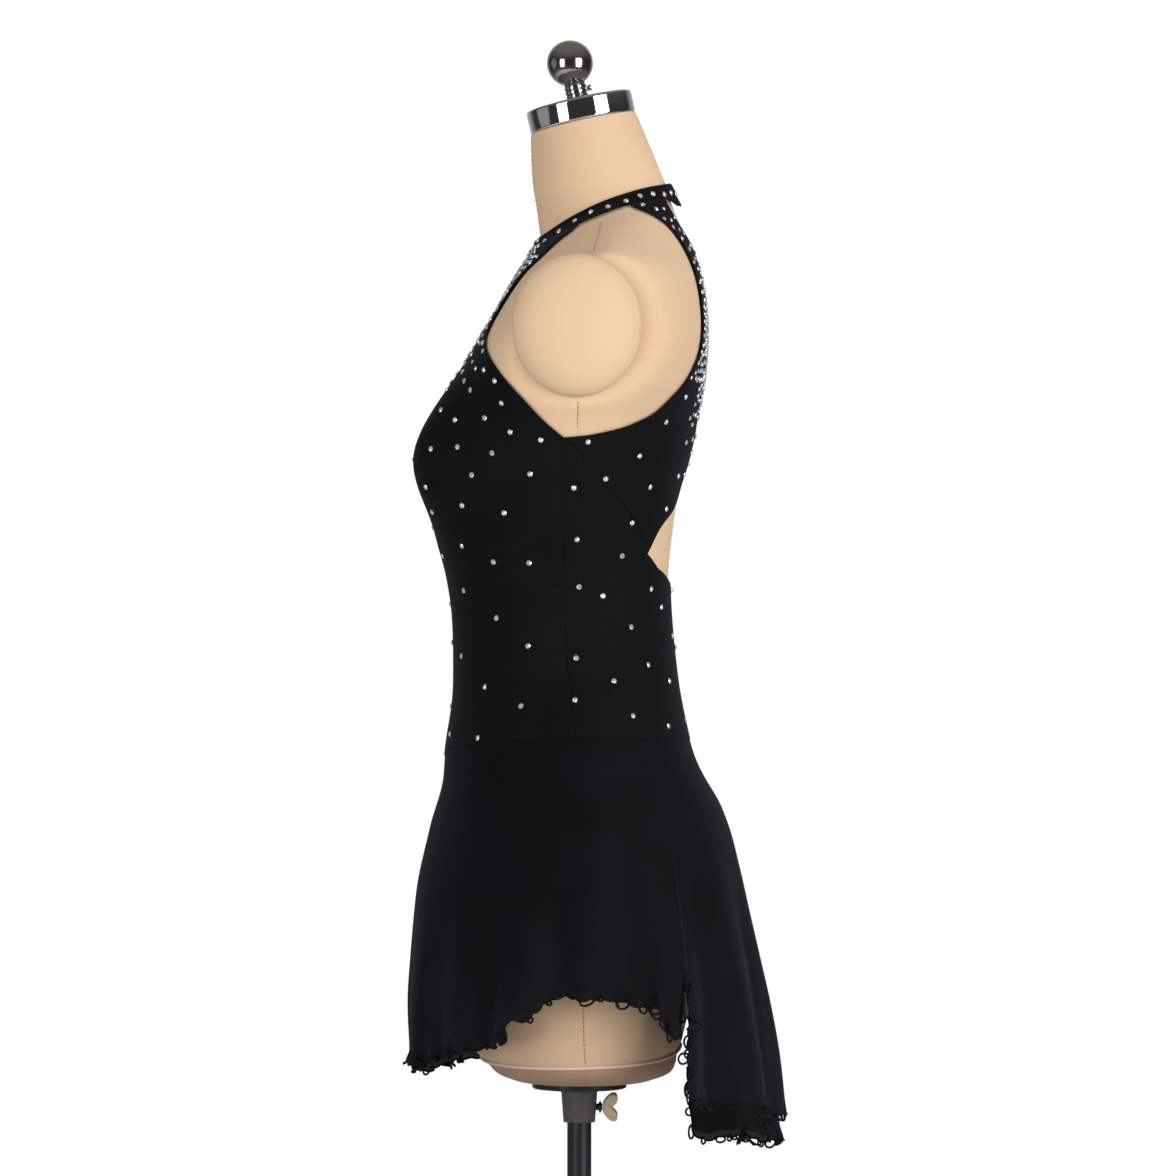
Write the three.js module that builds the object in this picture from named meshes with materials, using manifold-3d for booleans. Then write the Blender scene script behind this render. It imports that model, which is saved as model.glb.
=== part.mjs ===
// Figure skating dress on a limbless dress form with a pole stand.
// Millimetres, +Z up, origin on the floor under the pole.
// The front faces -Y and the wearer's left side faces +X.
import * as THREE from 'three';
import { mergeVertices } from 'three/addons/utils/BufferGeometryUtils.js';
import Module from 'manifold-3d';

const wasm = await Module();
wasm.setup();

// ---- driving dimensions ----
const TORSO_BOTTOM = 638;
const CHEST_LINE = 1190;      // height of the underarm corner
const SIDE_SEAM = -1;         // degrees, where front and back panels meet under the arm
const SEAM_GAP = 0.3;         // clear gap between pieces at a seam
const CLOTH_CLEAR = 1.4;      // knit above the form
const KNIT_WALL = 1.5;
const MESH_WALL = 1.2;
const ARM_PLANE = 172;        // the form's sides flatten here behind the shoulder plates
const ARM_BLEND = { from: 1200, to: 1240, soft: 4 }; // heights, and how softly they flatten
const CLEAVAGE_BRIDGE = 0.45; // the knit spans the hollow between the cups this much
const POLE_RADIUS = 10.5;
const POLE_TOP = 1000;
const FOOT_RADIUS = 190;
const FOOT_THICK = 7;
const BALL_RADIUS = 20;

// Form sections: height at the widest point, then where the front, the back and each side
// lie, the depth of the widest point, the lean of the ring (degrees) and its squareness.
const SECTION = { height: 0, front: 1, back: 2, side: 3, mid: 4, lean: 5, square: 6 };
const FORM_SECTIONS = [
  [638, -60, 66, 106, 3, 0, 2.2],
  [643, -72, 79, 126, 3, 0, 2.2],
  [650, -79, 83.5, 136, 3, 0, 2.2],
  [658, -87, 85, 139.5, 2, 0, 2.2],
  [670, -97, 89, 144, 1, 0, 2.2],
  [704, -107, 97, 152, 0, 0, 2.2],
  [747, -115, 105.5, 160, 0, 0, 2.2],
  [791, -119, 113, 166, 0, 0, 2.2],
  [834, -119.5, 116, 168.5, 0, 0, 2.2],
  [887, -115.5, 105.5, 163, 0, 0, 2.2],
  [920, -114.5, 96.5, 154.5, 0, 0, 2.2],
  [965, -108, 86.5, 136, -4, 0, 2.2],
  [996, -107, 82, 123, -8, 0, 2.2],
  [1039, -108, 78, 115, -10, 0, 2.2],
  [1072, -111.5, 77, 118, -12, 0, 2.2],
  [1100, -115.5, 79.5, 124, -12, 0, 2.2],
  [1128, -117, 83, 133, -12, 0, 2.2],
  [1150, -118, 86.5, 141, -12, 0, 2.2],
  [1172, -118, 92.7, 148, -12, 0, 2.2],
  [1190, -116, 97, 154, -10, 0, 2.2],
  [1205, -113, 99.6, 163, -8, 0, 2.25],
  [1222, -108, 102.6, 177, -4, 0, 2.35],
  [1240, -101, 105.6, 191, 0, 0, 2.45],
  [1275, -84, 108.3, 204, 4, 0, 2.6],
  [1308, -66.5, 107.3, 200, 12, 0.5, 2.2],
  [1334, -53.5, 102.8, 188, 20, 2, 1.8],
  [1352, -44.5, 96, 152, 26, 5, 1.6],
  [1368, -39, 87.5, 112, 27, 10, 1.6],
  [1380, -35.5, 80, 75, 24, 17, 1.8],
  [1390, -34, 76, 58, 20.5, 21, 2.0],
  [1404, -36, 71.5, 51, 16.5, 18, 2.0],
  [1431, -40.5, 62.5, 48, 11, 14, 2.0],
  [1466.5, -42, 48.7, 45.3, 3.5, 12.5, 2.0],
];
const CUP = { side: 80, height: 1172, depth: 31, across: 46, above: 58, below: 66 };

// Heights of the torso's rings, closer where the form curves most.
const TORSO_RINGS = [
  638, 640.5, 643, 650, 658, 670, 690, 720, 752, 790, 825, 860, 890, 920, 950, 980, 1010, 1040,
  1070, 1100, 1125, 1145, 1162, 1180, 1196, 1210, 1224, 1240, 1258, 1280, 1304, 1322, 1338, 1350,
  1360, 1370, 1379, 1387, 1396, 1410, 1438, 1466.5,
];
const TORSO_COLUMNS = 36;

// Edges on the form, each row an angle round the form (degrees) and a height.
const SKIRT_SEAM = [
  [-90, 916], [-60, 924], [-39, 930], [-9, 936], [14, 935], [47, 932], [90, 930],
];
// Lower back panel's top: down the diagonal seam, then the lower edge of the back cut-out.
const LOWER_BACK_TOP = [
  [-1, 1190], [39, 1092], [50, 1079.6], [70, 1070], [90, 1063.5],
];
// Neck band: angle, height of its top edge and of its bottom edge.
const BAND = [
  [-90, 1386, 1372], [-60, 1387, 1374], [-30, 1391, 1379.5], [0, 1393.5, 1382.5],
  [30, 1393, 1383], [60, 1391.5, 1382], [90, 1391.5, 1381],
];
const BAND_START = 96;        // degrees, the end under the closure
const BAND_END = 464;         // the end that laps over it
const BAND_LIFT = 6.5;        // how far the lapped end stands off the nape
const BAND_LIFT_FROM = 418;
const BAND_LEAN = 0.6;        // how much less its top edge stands off
const BAND_DROOP = 4.5;       // how far the lower edge of that end hangs down
const BAND_DROOP_SPAN = [420, 440];

// Front of the armhole, from the underarm corner up to the neck band: height and angle.
const ARMHOLE_FRONT = [
  [1190, -1], [1196, -3.8], [1202, -6.5], [1210, -9.6], [1218, -12.5], [1227, -15.8], [1237, -19.5],
  [1254, -26], [1269, -33], [1283, -39.5],
  [1298.5, -45.5], [1314, -46.5], [1328, -43.5], [1342, -39.5], [1354.5, -36], [1368, -29],
  [1380.4, -19.6],
];
// Upper back half, from the neck band down to the diagonal seam: height and angle of its
// armhole edge, then of its inner edge along the nape slit, centre back and cut-out.
const UPPER_BACK = [
  [1382, 18, 1381.2, 59], [1377.6, 22, 1377, 59.5], [1372, 29, 1372, 61], [1365.5, 38, 1366.5, 65],
  [1357.5, 45, 1360.5, 72], [1347, 50, 1353.5, 82], [1334, 52, 1342, 90], [1320, 52.6, 1323, 90],
  [1306, 51.6, 1306, 90], [1289, 49.6, 1289, 90], [1271, 46, 1272, 90], [1256, 42, 1257, 90],
  [1239, 36.3, 1243, 90], [1224.5, 31.2, 1229, 90], [1212, 27, 1216, 90], [1204.5, 22, 1204, 90],
  [1198.5, 16.5, 1191, 90], [1193.3, 8.6, 1178, 90], [1192, 6, 1160, 82], [1191.3, 3.6, 1136, 69.5],
  [1190.7, 1.4, 1116, 49], [1190, -1, 1092, 39],
];

// Skirt outline: height, then where the front, the back and each side hang.
const SKIRT_OUTLINE = [
  [560, -146, 175, 222], [601, -147, 172.5, 216], [658, -147, 169, 208], [704, -149, 162.5, 202],
  [743, -147, 155, 196], [788, -143, 146, 188], [813, -139.5, 141, 184], [850, -131, 132, 178],
  [878, -124.5, 121.5, 172], [906, -119.5, 109, 163], [940, -117, 99, 152],
];
// Hem height at each angle. A short lappet and a notch part it from the tail on the wearer's
// left (20 to 29 degrees). On the right it drops into the tail near 149.
const HEM = [
  [-180, 683], [-172, 681], [-164, 672], [-159, 654], [-151, 641], [-140, 638], [-120, 637],
  [-105, 643], [-90, 651], [-75, 653], [-58, 656.5], [-42, 663], [-38, 669], [-30, 672], [-24, 677],
  [-19.5, 684], [-15.5, 701], [-11.5, 705], [-8.5, 717], [0, 720], [7, 720], [14, 714],
  [18.5, 712], [19.8, 708], [20.8, 693], [21.8, 687], [23, 686], [24.2, 693], [25.2, 710], [26.4, 728],
  [27.6, 728], [28.2, 700], [28.8, 662], [29.6, 641], [33.5, 634], [49, 625], [60, 618],
  [74, 611], [90, 602], [100, 583], [110, 576], [123, 575], [135, 572], [143, 569],
  [147.2, 570], [148.4, 582], [148.9, 620], [149.4, 680], [150, 704], [152, 711], [156, 704],
  [163, 690], [180, 683],
];
// Each skirt panel's columns: an angle and how many columns follow it, closer at the steep hem.
const SKIRT_FRONT_COLUMNS = [[181, 44], [359, 0]];
const SKIRT_BACK_COLUMNS = [
  [-1, 4], [16, 3], [19, 24], [31, 2], [34, 21], [144, 2], [147, 18], [152, 1], [158, 6], [181, 0],
];
// How far the tail's two edges swing round as they hang: height and degrees, and the angles
// between which each swing starts, is full, and ends.
const NEAR_SWING = [[560, -3.9], [641, -3.6], [662, -2.4], [700, -0.8], [730, 0], [950, 0]];
const FAR_SWING = [
  [560, 0.3], [590, 0.2], [620, -0.8], [680, -2.4], [706, -3.2], [730, -3.2], [860, 0], [950, 0],
];
const SWING_REACH = { near: [26.8, 28, 31, 55], far: [135, 147.5, 150.5, 168] };
const SKIRT_EDGE = 0.05;      // degrees, half the gap of the skirt's side seam
const SKIRT_SQUARE = 2.1;     // squareness of the skirt's outline
const SKIRT_HANG = 60;        // drop over which the skirt leaves the form
const FOLD_GROWTH = 1.3;      // how late in the drop the folds deepen
// Folds that fall from the seam: angle at the seam, angle at the hem, half width (degrees),
// depth at the hem (minus for a trough) and the share of the drop where the fold starts.
const FOLDS = [
  [-12, -27, 8, -15, 0.0], [-14, -15, 7, 8, 0.15], [-5, -6, 5, -10, 0.3], [3, 4, 6, 9, 0.2],
  [10, 12, 5, -11, 0.25], [20, 25, 7, 10, 0.2], [32, 41, 6, -20, 0.2], [46, 54, 8, 9, 0.25],
  [60, 68, 6, -10, 0.3], [74, 82, 7, 8, 0.2], [88, 96, 5, -11, 0.25], [102, 110, 8, 9, 0.2],
  [118, 124, 6, -12, 0.15], [131, 138, 7, 9, 0.3], [147, 151, 6, -16, 0.2], [160, 164, 7, 9, 0.25],
  [172, 175, 5, -10, 0.2], [184, 187, 6, 8, 0.3], [193, 200, 7, -13, 0.1], [206, 214, 7, 8, 0.3],
  [219, 227, 6, -8, 0.4], [233, 240, 8, 6, 0.35], [247, 252, 7, -6, 0.45], [281, 284, 8, -6, 0.45],
  [300, 300, 9, 7, 0.35], [318, 315, 7, -8, 0.3],
];

// ---- materials ----
function paint(colour, roughness, metalness) {
  return new THREE.MeshStandardMaterial({ color: colour, roughness, metalness });
}
const KNIT = paint(0x141417, 0.72, 0);
const MESH = paint(0x1a1a1e, 0.8, 0);
const JERSEY = paint(0xdebc96, 0.75, 0);
const CHROME = paint(0xd8dadd, 0.12, 1);
const GUNMETAL = paint(0x3b3d42, 0.16, 1);
const BLACK_STEEL = paint(0x1c1d20, 0.4, 0.6);
const CREAM = paint(0xe4dcc6, 0.5, 0);

// ---- tables and curves ----
const RAD = Math.PI / 180;

function slope(table, i, c) {
  const a = table[Math.max(0, i - 1)];
  const b = table[Math.min(table.length - 1, i + 1)];
  return (b[c] - a[c]) / (b[0] - a[0]);
}

// Smooth value of column c where column 0 is at.
function smooth(table, at, c = 1) {
  let i = 0;
  while (i < table.length - 2 && table[i + 1][0] < at) i += 1;
  const span = table[i + 1][0] - table[i][0];
  const t = THREE.MathUtils.clamp((at - table[i][0]) / span, 0, 1);
  const rise = t * t * (3 - 2 * t);
  return table[i][c] * (1 - rise) + table[i + 1][c] * rise
    + slope(table, i, c) * span * t * (1 - t) ** 2
    - slope(table, i + 1, c) * span * t * t * (1 - t);
}

// Straight-line value of column c where column 0 is at.
function straight(table, at, c = 1) {
  let i = 0;
  while (i < table.length - 2 && table[i + 1][0] < at) i += 1;
  const t = (at - table[i][0]) / (table[i + 1][0] - table[i][0]);
  return table[i][c] + (table[i + 1][c] - table[i][c]) * THREE.MathUtils.clamp(t, 0, 1);
}

// The form is the same on both sides: any angle folds to -90..90.
function mirrored(angle) {
  const turned = ((angle + 90) % 360 + 360) % 360 - 90;
  return turned > 90 ? 180 - turned : turned;
}

function ringRadius(front, back, side, square, angle) {
  const c = Math.abs(Math.cos(angle * RAD)) / side;
  const s = Math.sin(angle * RAD);
  const d = Math.abs(s) / (s > 0 ? back : -front);
  return (c ** square + d ** square) ** (-1 / square);
}

// The lesser of a value and a limit, with the corner between them rounded off.
function flattened(value, limit, soft) {
  const off = Math.abs(value - limit) / Math.max(soft, 0.001);
  return Math.min(value, limit) - soft * Math.log1p(Math.exp(-off));
}

// ---- the form's surface ----
function formPoint(height, angle, bridge) {
  const at = (name) => smooth(FORM_SECTIONS, height, SECTION[name]);
  const mid = at('mid');
  const r = ringRadius(at('front') - mid, at('back') - mid, at('side'), at('square'), angle);
  const across = r * Math.cos(angle * RAD);
  const along = r * Math.sin(angle * RAD);
  const up = height - CUP.height;
  const fall = Math.exp(-((up / (up > 0 ? CUP.above : CUP.below)) ** 2));
  const off = (Math.abs(across) - CUP.side) / CUP.across;
  const round = Math.exp(-off * off);
  const cup = off < 0 ? bridge + (1 - bridge) * round : round;
  const ahead = THREE.MathUtils.smoothstep(-Math.sin(angle * RAD), 0, 0.5);
  const soft = ARM_BLEND.soft * THREE.MathUtils.smoothstep(height, ARM_BLEND.from, ARM_BLEND.to);
  return new THREE.Vector3(
    Math.sign(across) * flattened(Math.abs(across), ARM_PLANE, soft),
    mid + along - (CUP.depth + bridge * 2) * fall * cup * ahead,
    height + along * Math.tan(at('lean') * RAD),
  );
}

// A point off any surface, moved out along its normal.
function movedOut(surface, u, v, distance, step) {
  const across = surface(u, v + step).sub(surface(u, v - step));
  const up = surface(u + step, v).sub(surface(u - step, v));
  return surface(u, v).addScaledVector(across.cross(up).normalize(), distance);
}

function knitPoint(height, angle, distance) {
  const surface = (h, a) => formPoint(h, a, CLEAVAGE_BRIDGE);
  return movedOut(surface, height, angle, distance, 0.5);
}

// ---- the skirt's surface: share of the drop and angle ----
function foldDepth(share, angle) {
  let sum = 0;
  for (const [top, hem, width, depth, start] of FOLDS) {
    const centre = top + (hem - top) * share;
    const away = ((angle - centre) % 360 + 540) % 360 - 180;
    const grown = THREE.MathUtils.clamp((share - start) / (1 - start), 0, 1);
    sum += depth * grown ** FOLD_GROWTH * Math.exp(-((away / width) ** 2));
  }
  return sum;
}

function swung(height, angle) {
  const within = ([from, full, still, to]) => (
    THREE.MathUtils.smoothstep(angle, from, full) * (1 - THREE.MathUtils.smoothstep(angle, still, to))
  );
  return angle + smooth(NEAR_SWING, height) * within(SWING_REACH.near)
    + smooth(FAR_SWING, height) * within(SWING_REACH.far);
}

function skirtPoint(share, angle) {
  const seam = straight(SKIRT_SEAM, mirrored(angle)) - SEAM_GAP;
  const turned = ((angle + 180) % 360 + 360) % 360 - 180;
  const height = seam + (smooth(HEM, turned) - seam) * share;
  const place = swung(height, angle);
  const outline = ringRadius(
    smooth(SKIRT_OUTLINE, height, 1), smooth(SKIRT_OUTLINE, height, 2),
    smooth(SKIRT_OUTLINE, height, 3), SKIRT_SQUARE, place,
  );
  const form = formPoint(Math.max(height, TORSO_BOTTOM), place, 0);
  const held = Math.hypot(form.x, form.y) + CLOTH_CLEAR + KNIT_WALL / 2;
  const free = THREE.MathUtils.smoothstep(seam - height, 0, SKIRT_HANG);
  const r = Math.max(held + (outline - held) * free + foldDepth(share, angle), held);
  return new THREE.Vector3(r * Math.cos(place * RAD), r * Math.sin(place * RAD), height);
}

// ---- closed solids ----
function solid(points, faces) {
  const geometry = new THREE.BufferGeometry();
  const flat = points.flatMap((p) => [p.x, p.y, p.z]);
  geometry.setAttribute('position', new THREE.Float32BufferAttribute(flat, 3));
  geometry.setIndex(faces.flat());
  if (volume(geometry) < 0) geometry.setIndex(faces.map(([a, b, c]) => [a, c, b]).flat());
  geometry.computeVertexNormals();
  return geometry;
}

function volume(geometry) {
  const p = geometry.attributes.position;
  const index = geometry.index.array;
  const corner = [0, 1, 2].map(() => new THREE.Vector3());
  let sum = 0;
  for (let i = 0; i < index.length; i += 3) {
    corner.forEach((v, k) => v.fromBufferAttribute(p, index[i + k]));
    sum += corner[0].dot(corner[1].cross(corner[2])) / 6;
  }
  return sum;
}

// A thin wall between an outer and an inner grid of points, rows by columns.
function wall(outer, inner) {
  const rows = outer.length - 1;
  const columns = outer[0].length - 1;
  const points = [...outer.flat(), ...inner.flat()];
  const out = (i, j) => i * (columns + 1) + j;
  const into = (i, j) => (rows + 1) * (columns + 1) + out(i, j);
  const faces = [];
  const far = (a, b) => points[a].distanceTo(points[b]);
  const quad = (a, b, c, d) => {
    if (far(a, c) <= far(b, d)) faces.push([a, b, c], [a, c, d]);
    else faces.push([a, b, d], [b, c, d]);
  };
  for (let i = 0; i < rows; i += 1) {
    for (let j = 0; j < columns; j += 1) {
      quad(out(i, j), out(i, j + 1), out(i + 1, j + 1), out(i + 1, j));
      quad(into(i, j), into(i + 1, j), into(i + 1, j + 1), into(i, j + 1));
    }
    quad(out(i, 0), out(i + 1, 0), into(i + 1, 0), into(i, 0));
    quad(out(i, columns), into(i, columns), into(i + 1, columns), out(i + 1, columns));
  }
  for (let j = 0; j < columns; j += 1) {
    quad(out(0, j), into(0, j), into(0, j + 1), out(0, j + 1));
    quad(out(rows, j), out(rows, j + 1), into(rows, j + 1), into(rows, j));
  }
  return solid(points, faces);
}

// A solid from closed rings stacked on each other, capped at both ends.
function stack(rings) {
  const count = rings[0].length;
  const middle = (ring) => (
    ring.reduce((s, p) => s.add(p), new THREE.Vector3()).divideScalar(count)
  );
  const points = [...rings.flat(), middle(rings[0]), middle(rings[rings.length - 1])];
  const faces = [];
  for (let j = 0; j < count; j += 1) {
    const k = (j + 1) % count;
    const top = (rings.length - 1) * count;
    for (let i = 0; i < rings.length - 1; i += 1) {
      const a = i * count;
      faces.push([a + j, a + k, a + count + k], [a + j, a + count + k, a + count + j]);
    }
    faces.push([points.length - 2, k, j], [points.length - 1, top + j, top + k]);
  }
  return solid(points, faces);
}

// Profile pairs of radius and height, turned about Z; hollow ones close on themselves.
function turned(profile, sides) {
  return new THREE.LatheGeometry(profile.map(([r, z]) => new THREE.Vector2(r, z)), sides)
    .rotateX(Math.PI / 2);
}

function cut(geometry, tool) {
  const solids = [geometry, tool].map((g) => {
    const bare = g.clone();
    bare.deleteAttribute('normal');
    bare.deleteAttribute('uv');
    const merged = mergeVertices(bare, 1e-4);
    return new wasm.Manifold(new wasm.Mesh({
      numProp: 3,
      vertProperties: merged.attributes.position.array,
      triVerts: new Uint32Array(merged.index.array),
    }));
  });
  const mesh = solids[0].subtract(solids[1]).getMesh();
  const result = new THREE.BufferGeometry();
  result.setAttribute('position', new THREE.BufferAttribute(mesh.vertProperties, 3));
  result.setIndex(new THREE.BufferAttribute(mesh.triVerts, 1));
  result.computeVertexNormals();
  return result;
}

const group = new THREE.Group();
function add(name, geometry, material) {
  const mesh = new THREE.Mesh(geometry, material);
  mesh.name = name;
  group.add(mesh);
  return mesh;
}

// ---- dress ----
const INNER = CLOTH_CLEAR;
const OUTER = CLOTH_CLEAR + KNIT_WALL;

// A knit panel from rows of [height, angle] places on the form.
function knitPanel(rows) {
  const grid = (distance) => rows.map((row) => row.map(([h, a]) => knitPoint(h, a, distance)));
  return wall(grid(OUTER), grid(INNER));
}

function between(from, to, steps) {
  return Array.from({ length: steps + 1 }, (_, i) => from + ((to - from) * i) / steps);
}

function frontBodice() {
  const columns = 20;
  const lowerRows = [0, 0.1, 0.2, 0.31, 0.42, 0.52, 0.61, 0.69, 0.76, 0.82, 0.88, 0.94, 1];
  const rows = [];
  const bandEdge = (angle) => smooth(BAND, mirrored(angle), 2) - SEAM_GAP;
  const place = (sideAngle, heightAt) => {
    const edge = sideAngle - SEAM_GAP / 2;
    rows.push(between(-180 - edge, edge, columns).map((a) => [heightAt(a), a]));
  };
  for (const share of lowerRows) {
    const seam = (a) => straight(SKIRT_SEAM, mirrored(a));
    place(SIDE_SEAM, (a) => seam(a) + (CHEST_LINE - seam(a)) * share);
  }
  for (const [height, angle] of ARMHOLE_FRONT.slice(1)) {
    const share = (height - CHEST_LINE) / (bandEdge(angle) - CHEST_LINE);
    place(angle, (a) => CHEST_LINE + (bandEdge(a) - CHEST_LINE) * Math.min(share, 1));
  }
  add('front_bodice', knitPanel(rows), KNIT);
}

function upperBack(name, side) {
  const columns = 8;
  const rows = UPPER_BACK.map(([outerHeight, outerAngle, innerHeight, innerAngle]) => {
    const centre = Math.min(innerAngle, 90 - SEAM_GAP / 4);
    return between(0, 1, columns).map((t) => {
      const angle = outerAngle + (centre - outerAngle) * t;
      return [outerHeight + (innerHeight - outerHeight) * t, side > 0 ? angle : 180 - angle];
    });
  });
  const bandEdge = (angle) => smooth(BAND, mirrored(angle), 2) - SEAM_GAP;
  rows[0] = rows[0].map(([, angle]) => [bandEdge(angle), angle]);
  add(name, knitPanel(rows), KNIT);
}

function lowerBack() {
  const rows = 8;
  const angles = [-1, 4, 10, 17, 24, 31, 36, 39, 44, 50, 60, 70, 80, 90];
  const drop = 0.5; // keeps the diagonal seam's gap
  const half = angles.map((a) => (a === SIDE_SEAM ? a + SEAM_GAP / 2 : a));
  const across = [...half, ...half.slice(0, -1).reverse().map((a) => 180 - a)];
  add('lower_back', knitPanel(between(0, 1, rows).map((share) => across.map((a) => {
    const seam = straight(SKIRT_SEAM, mirrored(a));
    const top = straight(LOWER_BACK_TOP, mirrored(a)) - drop;
    return [seam + (top - seam) * share, a];
  }))), KNIT);
}

function neckBand() {
  const columns = 46;
  const place = (share, angle, distance) => {
    const top = smooth(BAND, mirrored(angle), 1);
    const bottom = smooth(BAND, mirrored(angle), 2);
    const free = THREE.MathUtils.smoothstep(angle, BAND_LIFT_FROM, BAND_END);
    const lift = BAND_LIFT * free * (1 - BAND_LEAN * share);
    const hung = THREE.MathUtils.smoothstep(angle, ...BAND_DROOP_SPAN);
    const droop = BAND_DROOP * hung * (1 - share);
    return knitPoint(bottom + (top - bottom) * share - droop, angle, distance + lift);
  };
  const grid = (distance) => [0, 0.5, 1].map((share) => (
    between(BAND_START, BAND_END, columns).map((angle) => place(share, angle, distance))
  ));
  add('neck_band', wall(grid(OUTER), grid(INNER)), KNIT);
}

function skirtPanel(name, stops, rows) {
  const shares = between(0, 1, rows).map((t) => Math.max(t, 0.0005));
  const angles = [stops[0][0]];
  for (const [i, [from, columns]] of stops.slice(0, -1).entries()) {
    angles.push(...between(from, stops[i + 1][0], columns).slice(1));
  }
  angles[0] += SKIRT_EDGE;
  angles[angles.length - 1] -= SKIRT_EDGE;
  const surface = (u, v) => skirtPoint(THREE.MathUtils.clamp(u / 1000, 0, 1), v);
  const grid = (distance) => shares.map((share) => (
    angles.map((a) => movedOut(surface, share * 1000, a, distance, 0.5))
  ));
  add(name, wall(grid(-MESH_WALL / 2), grid(MESH_WALL / 2)), MESH);
}

frontBodice();
upperBack('upper_back_left', 1);
upperBack('upper_back_right', -1);
lowerBack();
neckBand();
skirtPanel('skirt_front', SKIRT_FRONT_COLUMNS, 7);
skirtPanel('skirt_back', SKIRT_BACK_COLUMNS, 8);

// ---- form ----
function torso() {
  const angles = between(0, 360, TORSO_COLUMNS).slice(0, -1);
  const rings = TORSO_RINGS.map((height) => angles.map((a) => formPoint(height, a, 0)));
  const bore = { radius: 12.5, top: 1150, bottom: 600 };
  const drill = new THREE.CylinderGeometry(bore.radius, bore.radius, bore.top - bore.bottom, 24)
    .rotateX(Math.PI / 2)
    .translate(0, 0, (bore.top + bore.bottom) / 2);
  add('torso', cut(stack(rings), drill), JERSEY);
}

// A ring of points round an ellipse, each made by place from its cosine and sine.
function ellipse(sides, place) {
  return between(0, 360, sides).slice(0, -1)
    .map((a) => new THREE.Vector3(...place(Math.cos(a * RAD), Math.sin(a * RAD))));
}

// Domed plate that closes each arm opening: layers as a distance out and a share of its size.
function shoulderPlate(name, side) {
  const centre = { y: -2, z: 1283 };
  const half = { y: 54, z: 60.5 };
  const layers = [
    [0.3, 0.97], [2.5, 1], [8, 0.975], [14, 0.9], [19.5, 0.77], [23.7, 0.57], [26.3, 0.34], [27.2, 0.15],
  ];
  const rings = layers.map(([out, share]) => ellipse(32, (c, s) => [
    side * (ARM_PLANE + out), centre.y + half.y * share * c, centre.z + half.z * share * s,
  ]));
  add(name, stack(rings), JERSEY);
}

// Leaning neck: everything on top of it shares this axis.
const NECK_TOP = { height: 1466.5, mid: 3.5, lean: 12.5 };
function onNeck(geometry, above) {
  return geometry.rotateX(NECK_TOP.lean * RAD)
    .translate(0, NECK_TOP.mid - above * Math.sin(NECK_TOP.lean * RAD),
      NECK_TOP.height + above * Math.cos(NECK_TOP.lean * RAD));
}

function neckCap() {
  const radius = 45.5;
  const layers = [[0.3, 1], [2, 1.02], [18, 1.02], [19.5, 1], [20, 0.97], [20, 0.2]];
  const rings = layers.map(([up, share]) => (
    ellipse(36, (c, s) => [radius * share * c, radius * share * s, up])
  ));
  add('neck_cap', onNeck(stack(rings), 0), CHROME);
}

function finial() {
  const stem = [[0, 20.3], [11, 20.3], [11, 22.5], [9.4, 23.5], [9.4, 34]];
  const centre = 53.6;
  const ball = between(-63.5, 90, 9).map((a) => [
    a === 90 ? 0 : BALL_RADIUS * Math.cos(a * RAD), centre + BALL_RADIUS * Math.sin(a * RAD),
  ]);
  add('finial', onNeck(turned([...stem, ...ball], 24), 0), GUNMETAL);
}

function finialScrew() {
  const radius = 2.5;
  const head = new THREE.CylinderGeometry(radius, radius, 4, 12).translate(0, 11.7, 29.3);
  add('finial_screw', onNeck(head, 0), CHROME);
}

torso();
shoulderPlate('shoulder_plate_left', 1);
shoulderPlate('shoulder_plate_right', -1);
neckCap();
finial();
finialScrew();

// ---- stand ----
const BASE_PLATE = { radius: 41, bottom: 627.5, top: TORSO_BOTTOM - 0.3 };
const COLLAR = { top: BASE_PLATE.bottom - 0.3, bottom: 598, topRadius: 15.6, bottomRadius: 13.8 };
const SCREW = { height: 611, stemRadius: 3, knobStart: 20.5, knobLength: 13 };
const BORE_RADIUS = POLE_RADIUS + 0.5;

function basePlate() {
  const { radius, bottom, top } = BASE_PLATE;
  add('base_plate', turned([
    [BORE_RADIUS, bottom], [radius - 1, bottom], [radius, bottom + 1], [radius, top],
    [BORE_RADIUS, top], [BORE_RADIUS, bottom],
  ], 40), BLACK_STEEL);
}

function collar() {
  const { top, bottom, topRadius, bottomRadius } = COLLAR;
  const sleeve = turned([
    [BORE_RADIUS, bottom], [bottomRadius, bottom], [topRadius, top - 4], [topRadius + 1.5, top],
    [BORE_RADIUS, top], [BORE_RADIUS, bottom],
  ], 32);
  const hole = { radius: SCREW.stemRadius + 0.3, length: 30 };
  const drill = new THREE.CylinderGeometry(hole.radius, hole.radius, hole.length, 16)
    .translate(0, hole.length / 2, SCREW.height);
  add('collar', cut(sleeve, drill), BLACK_STEEL);
}

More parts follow.
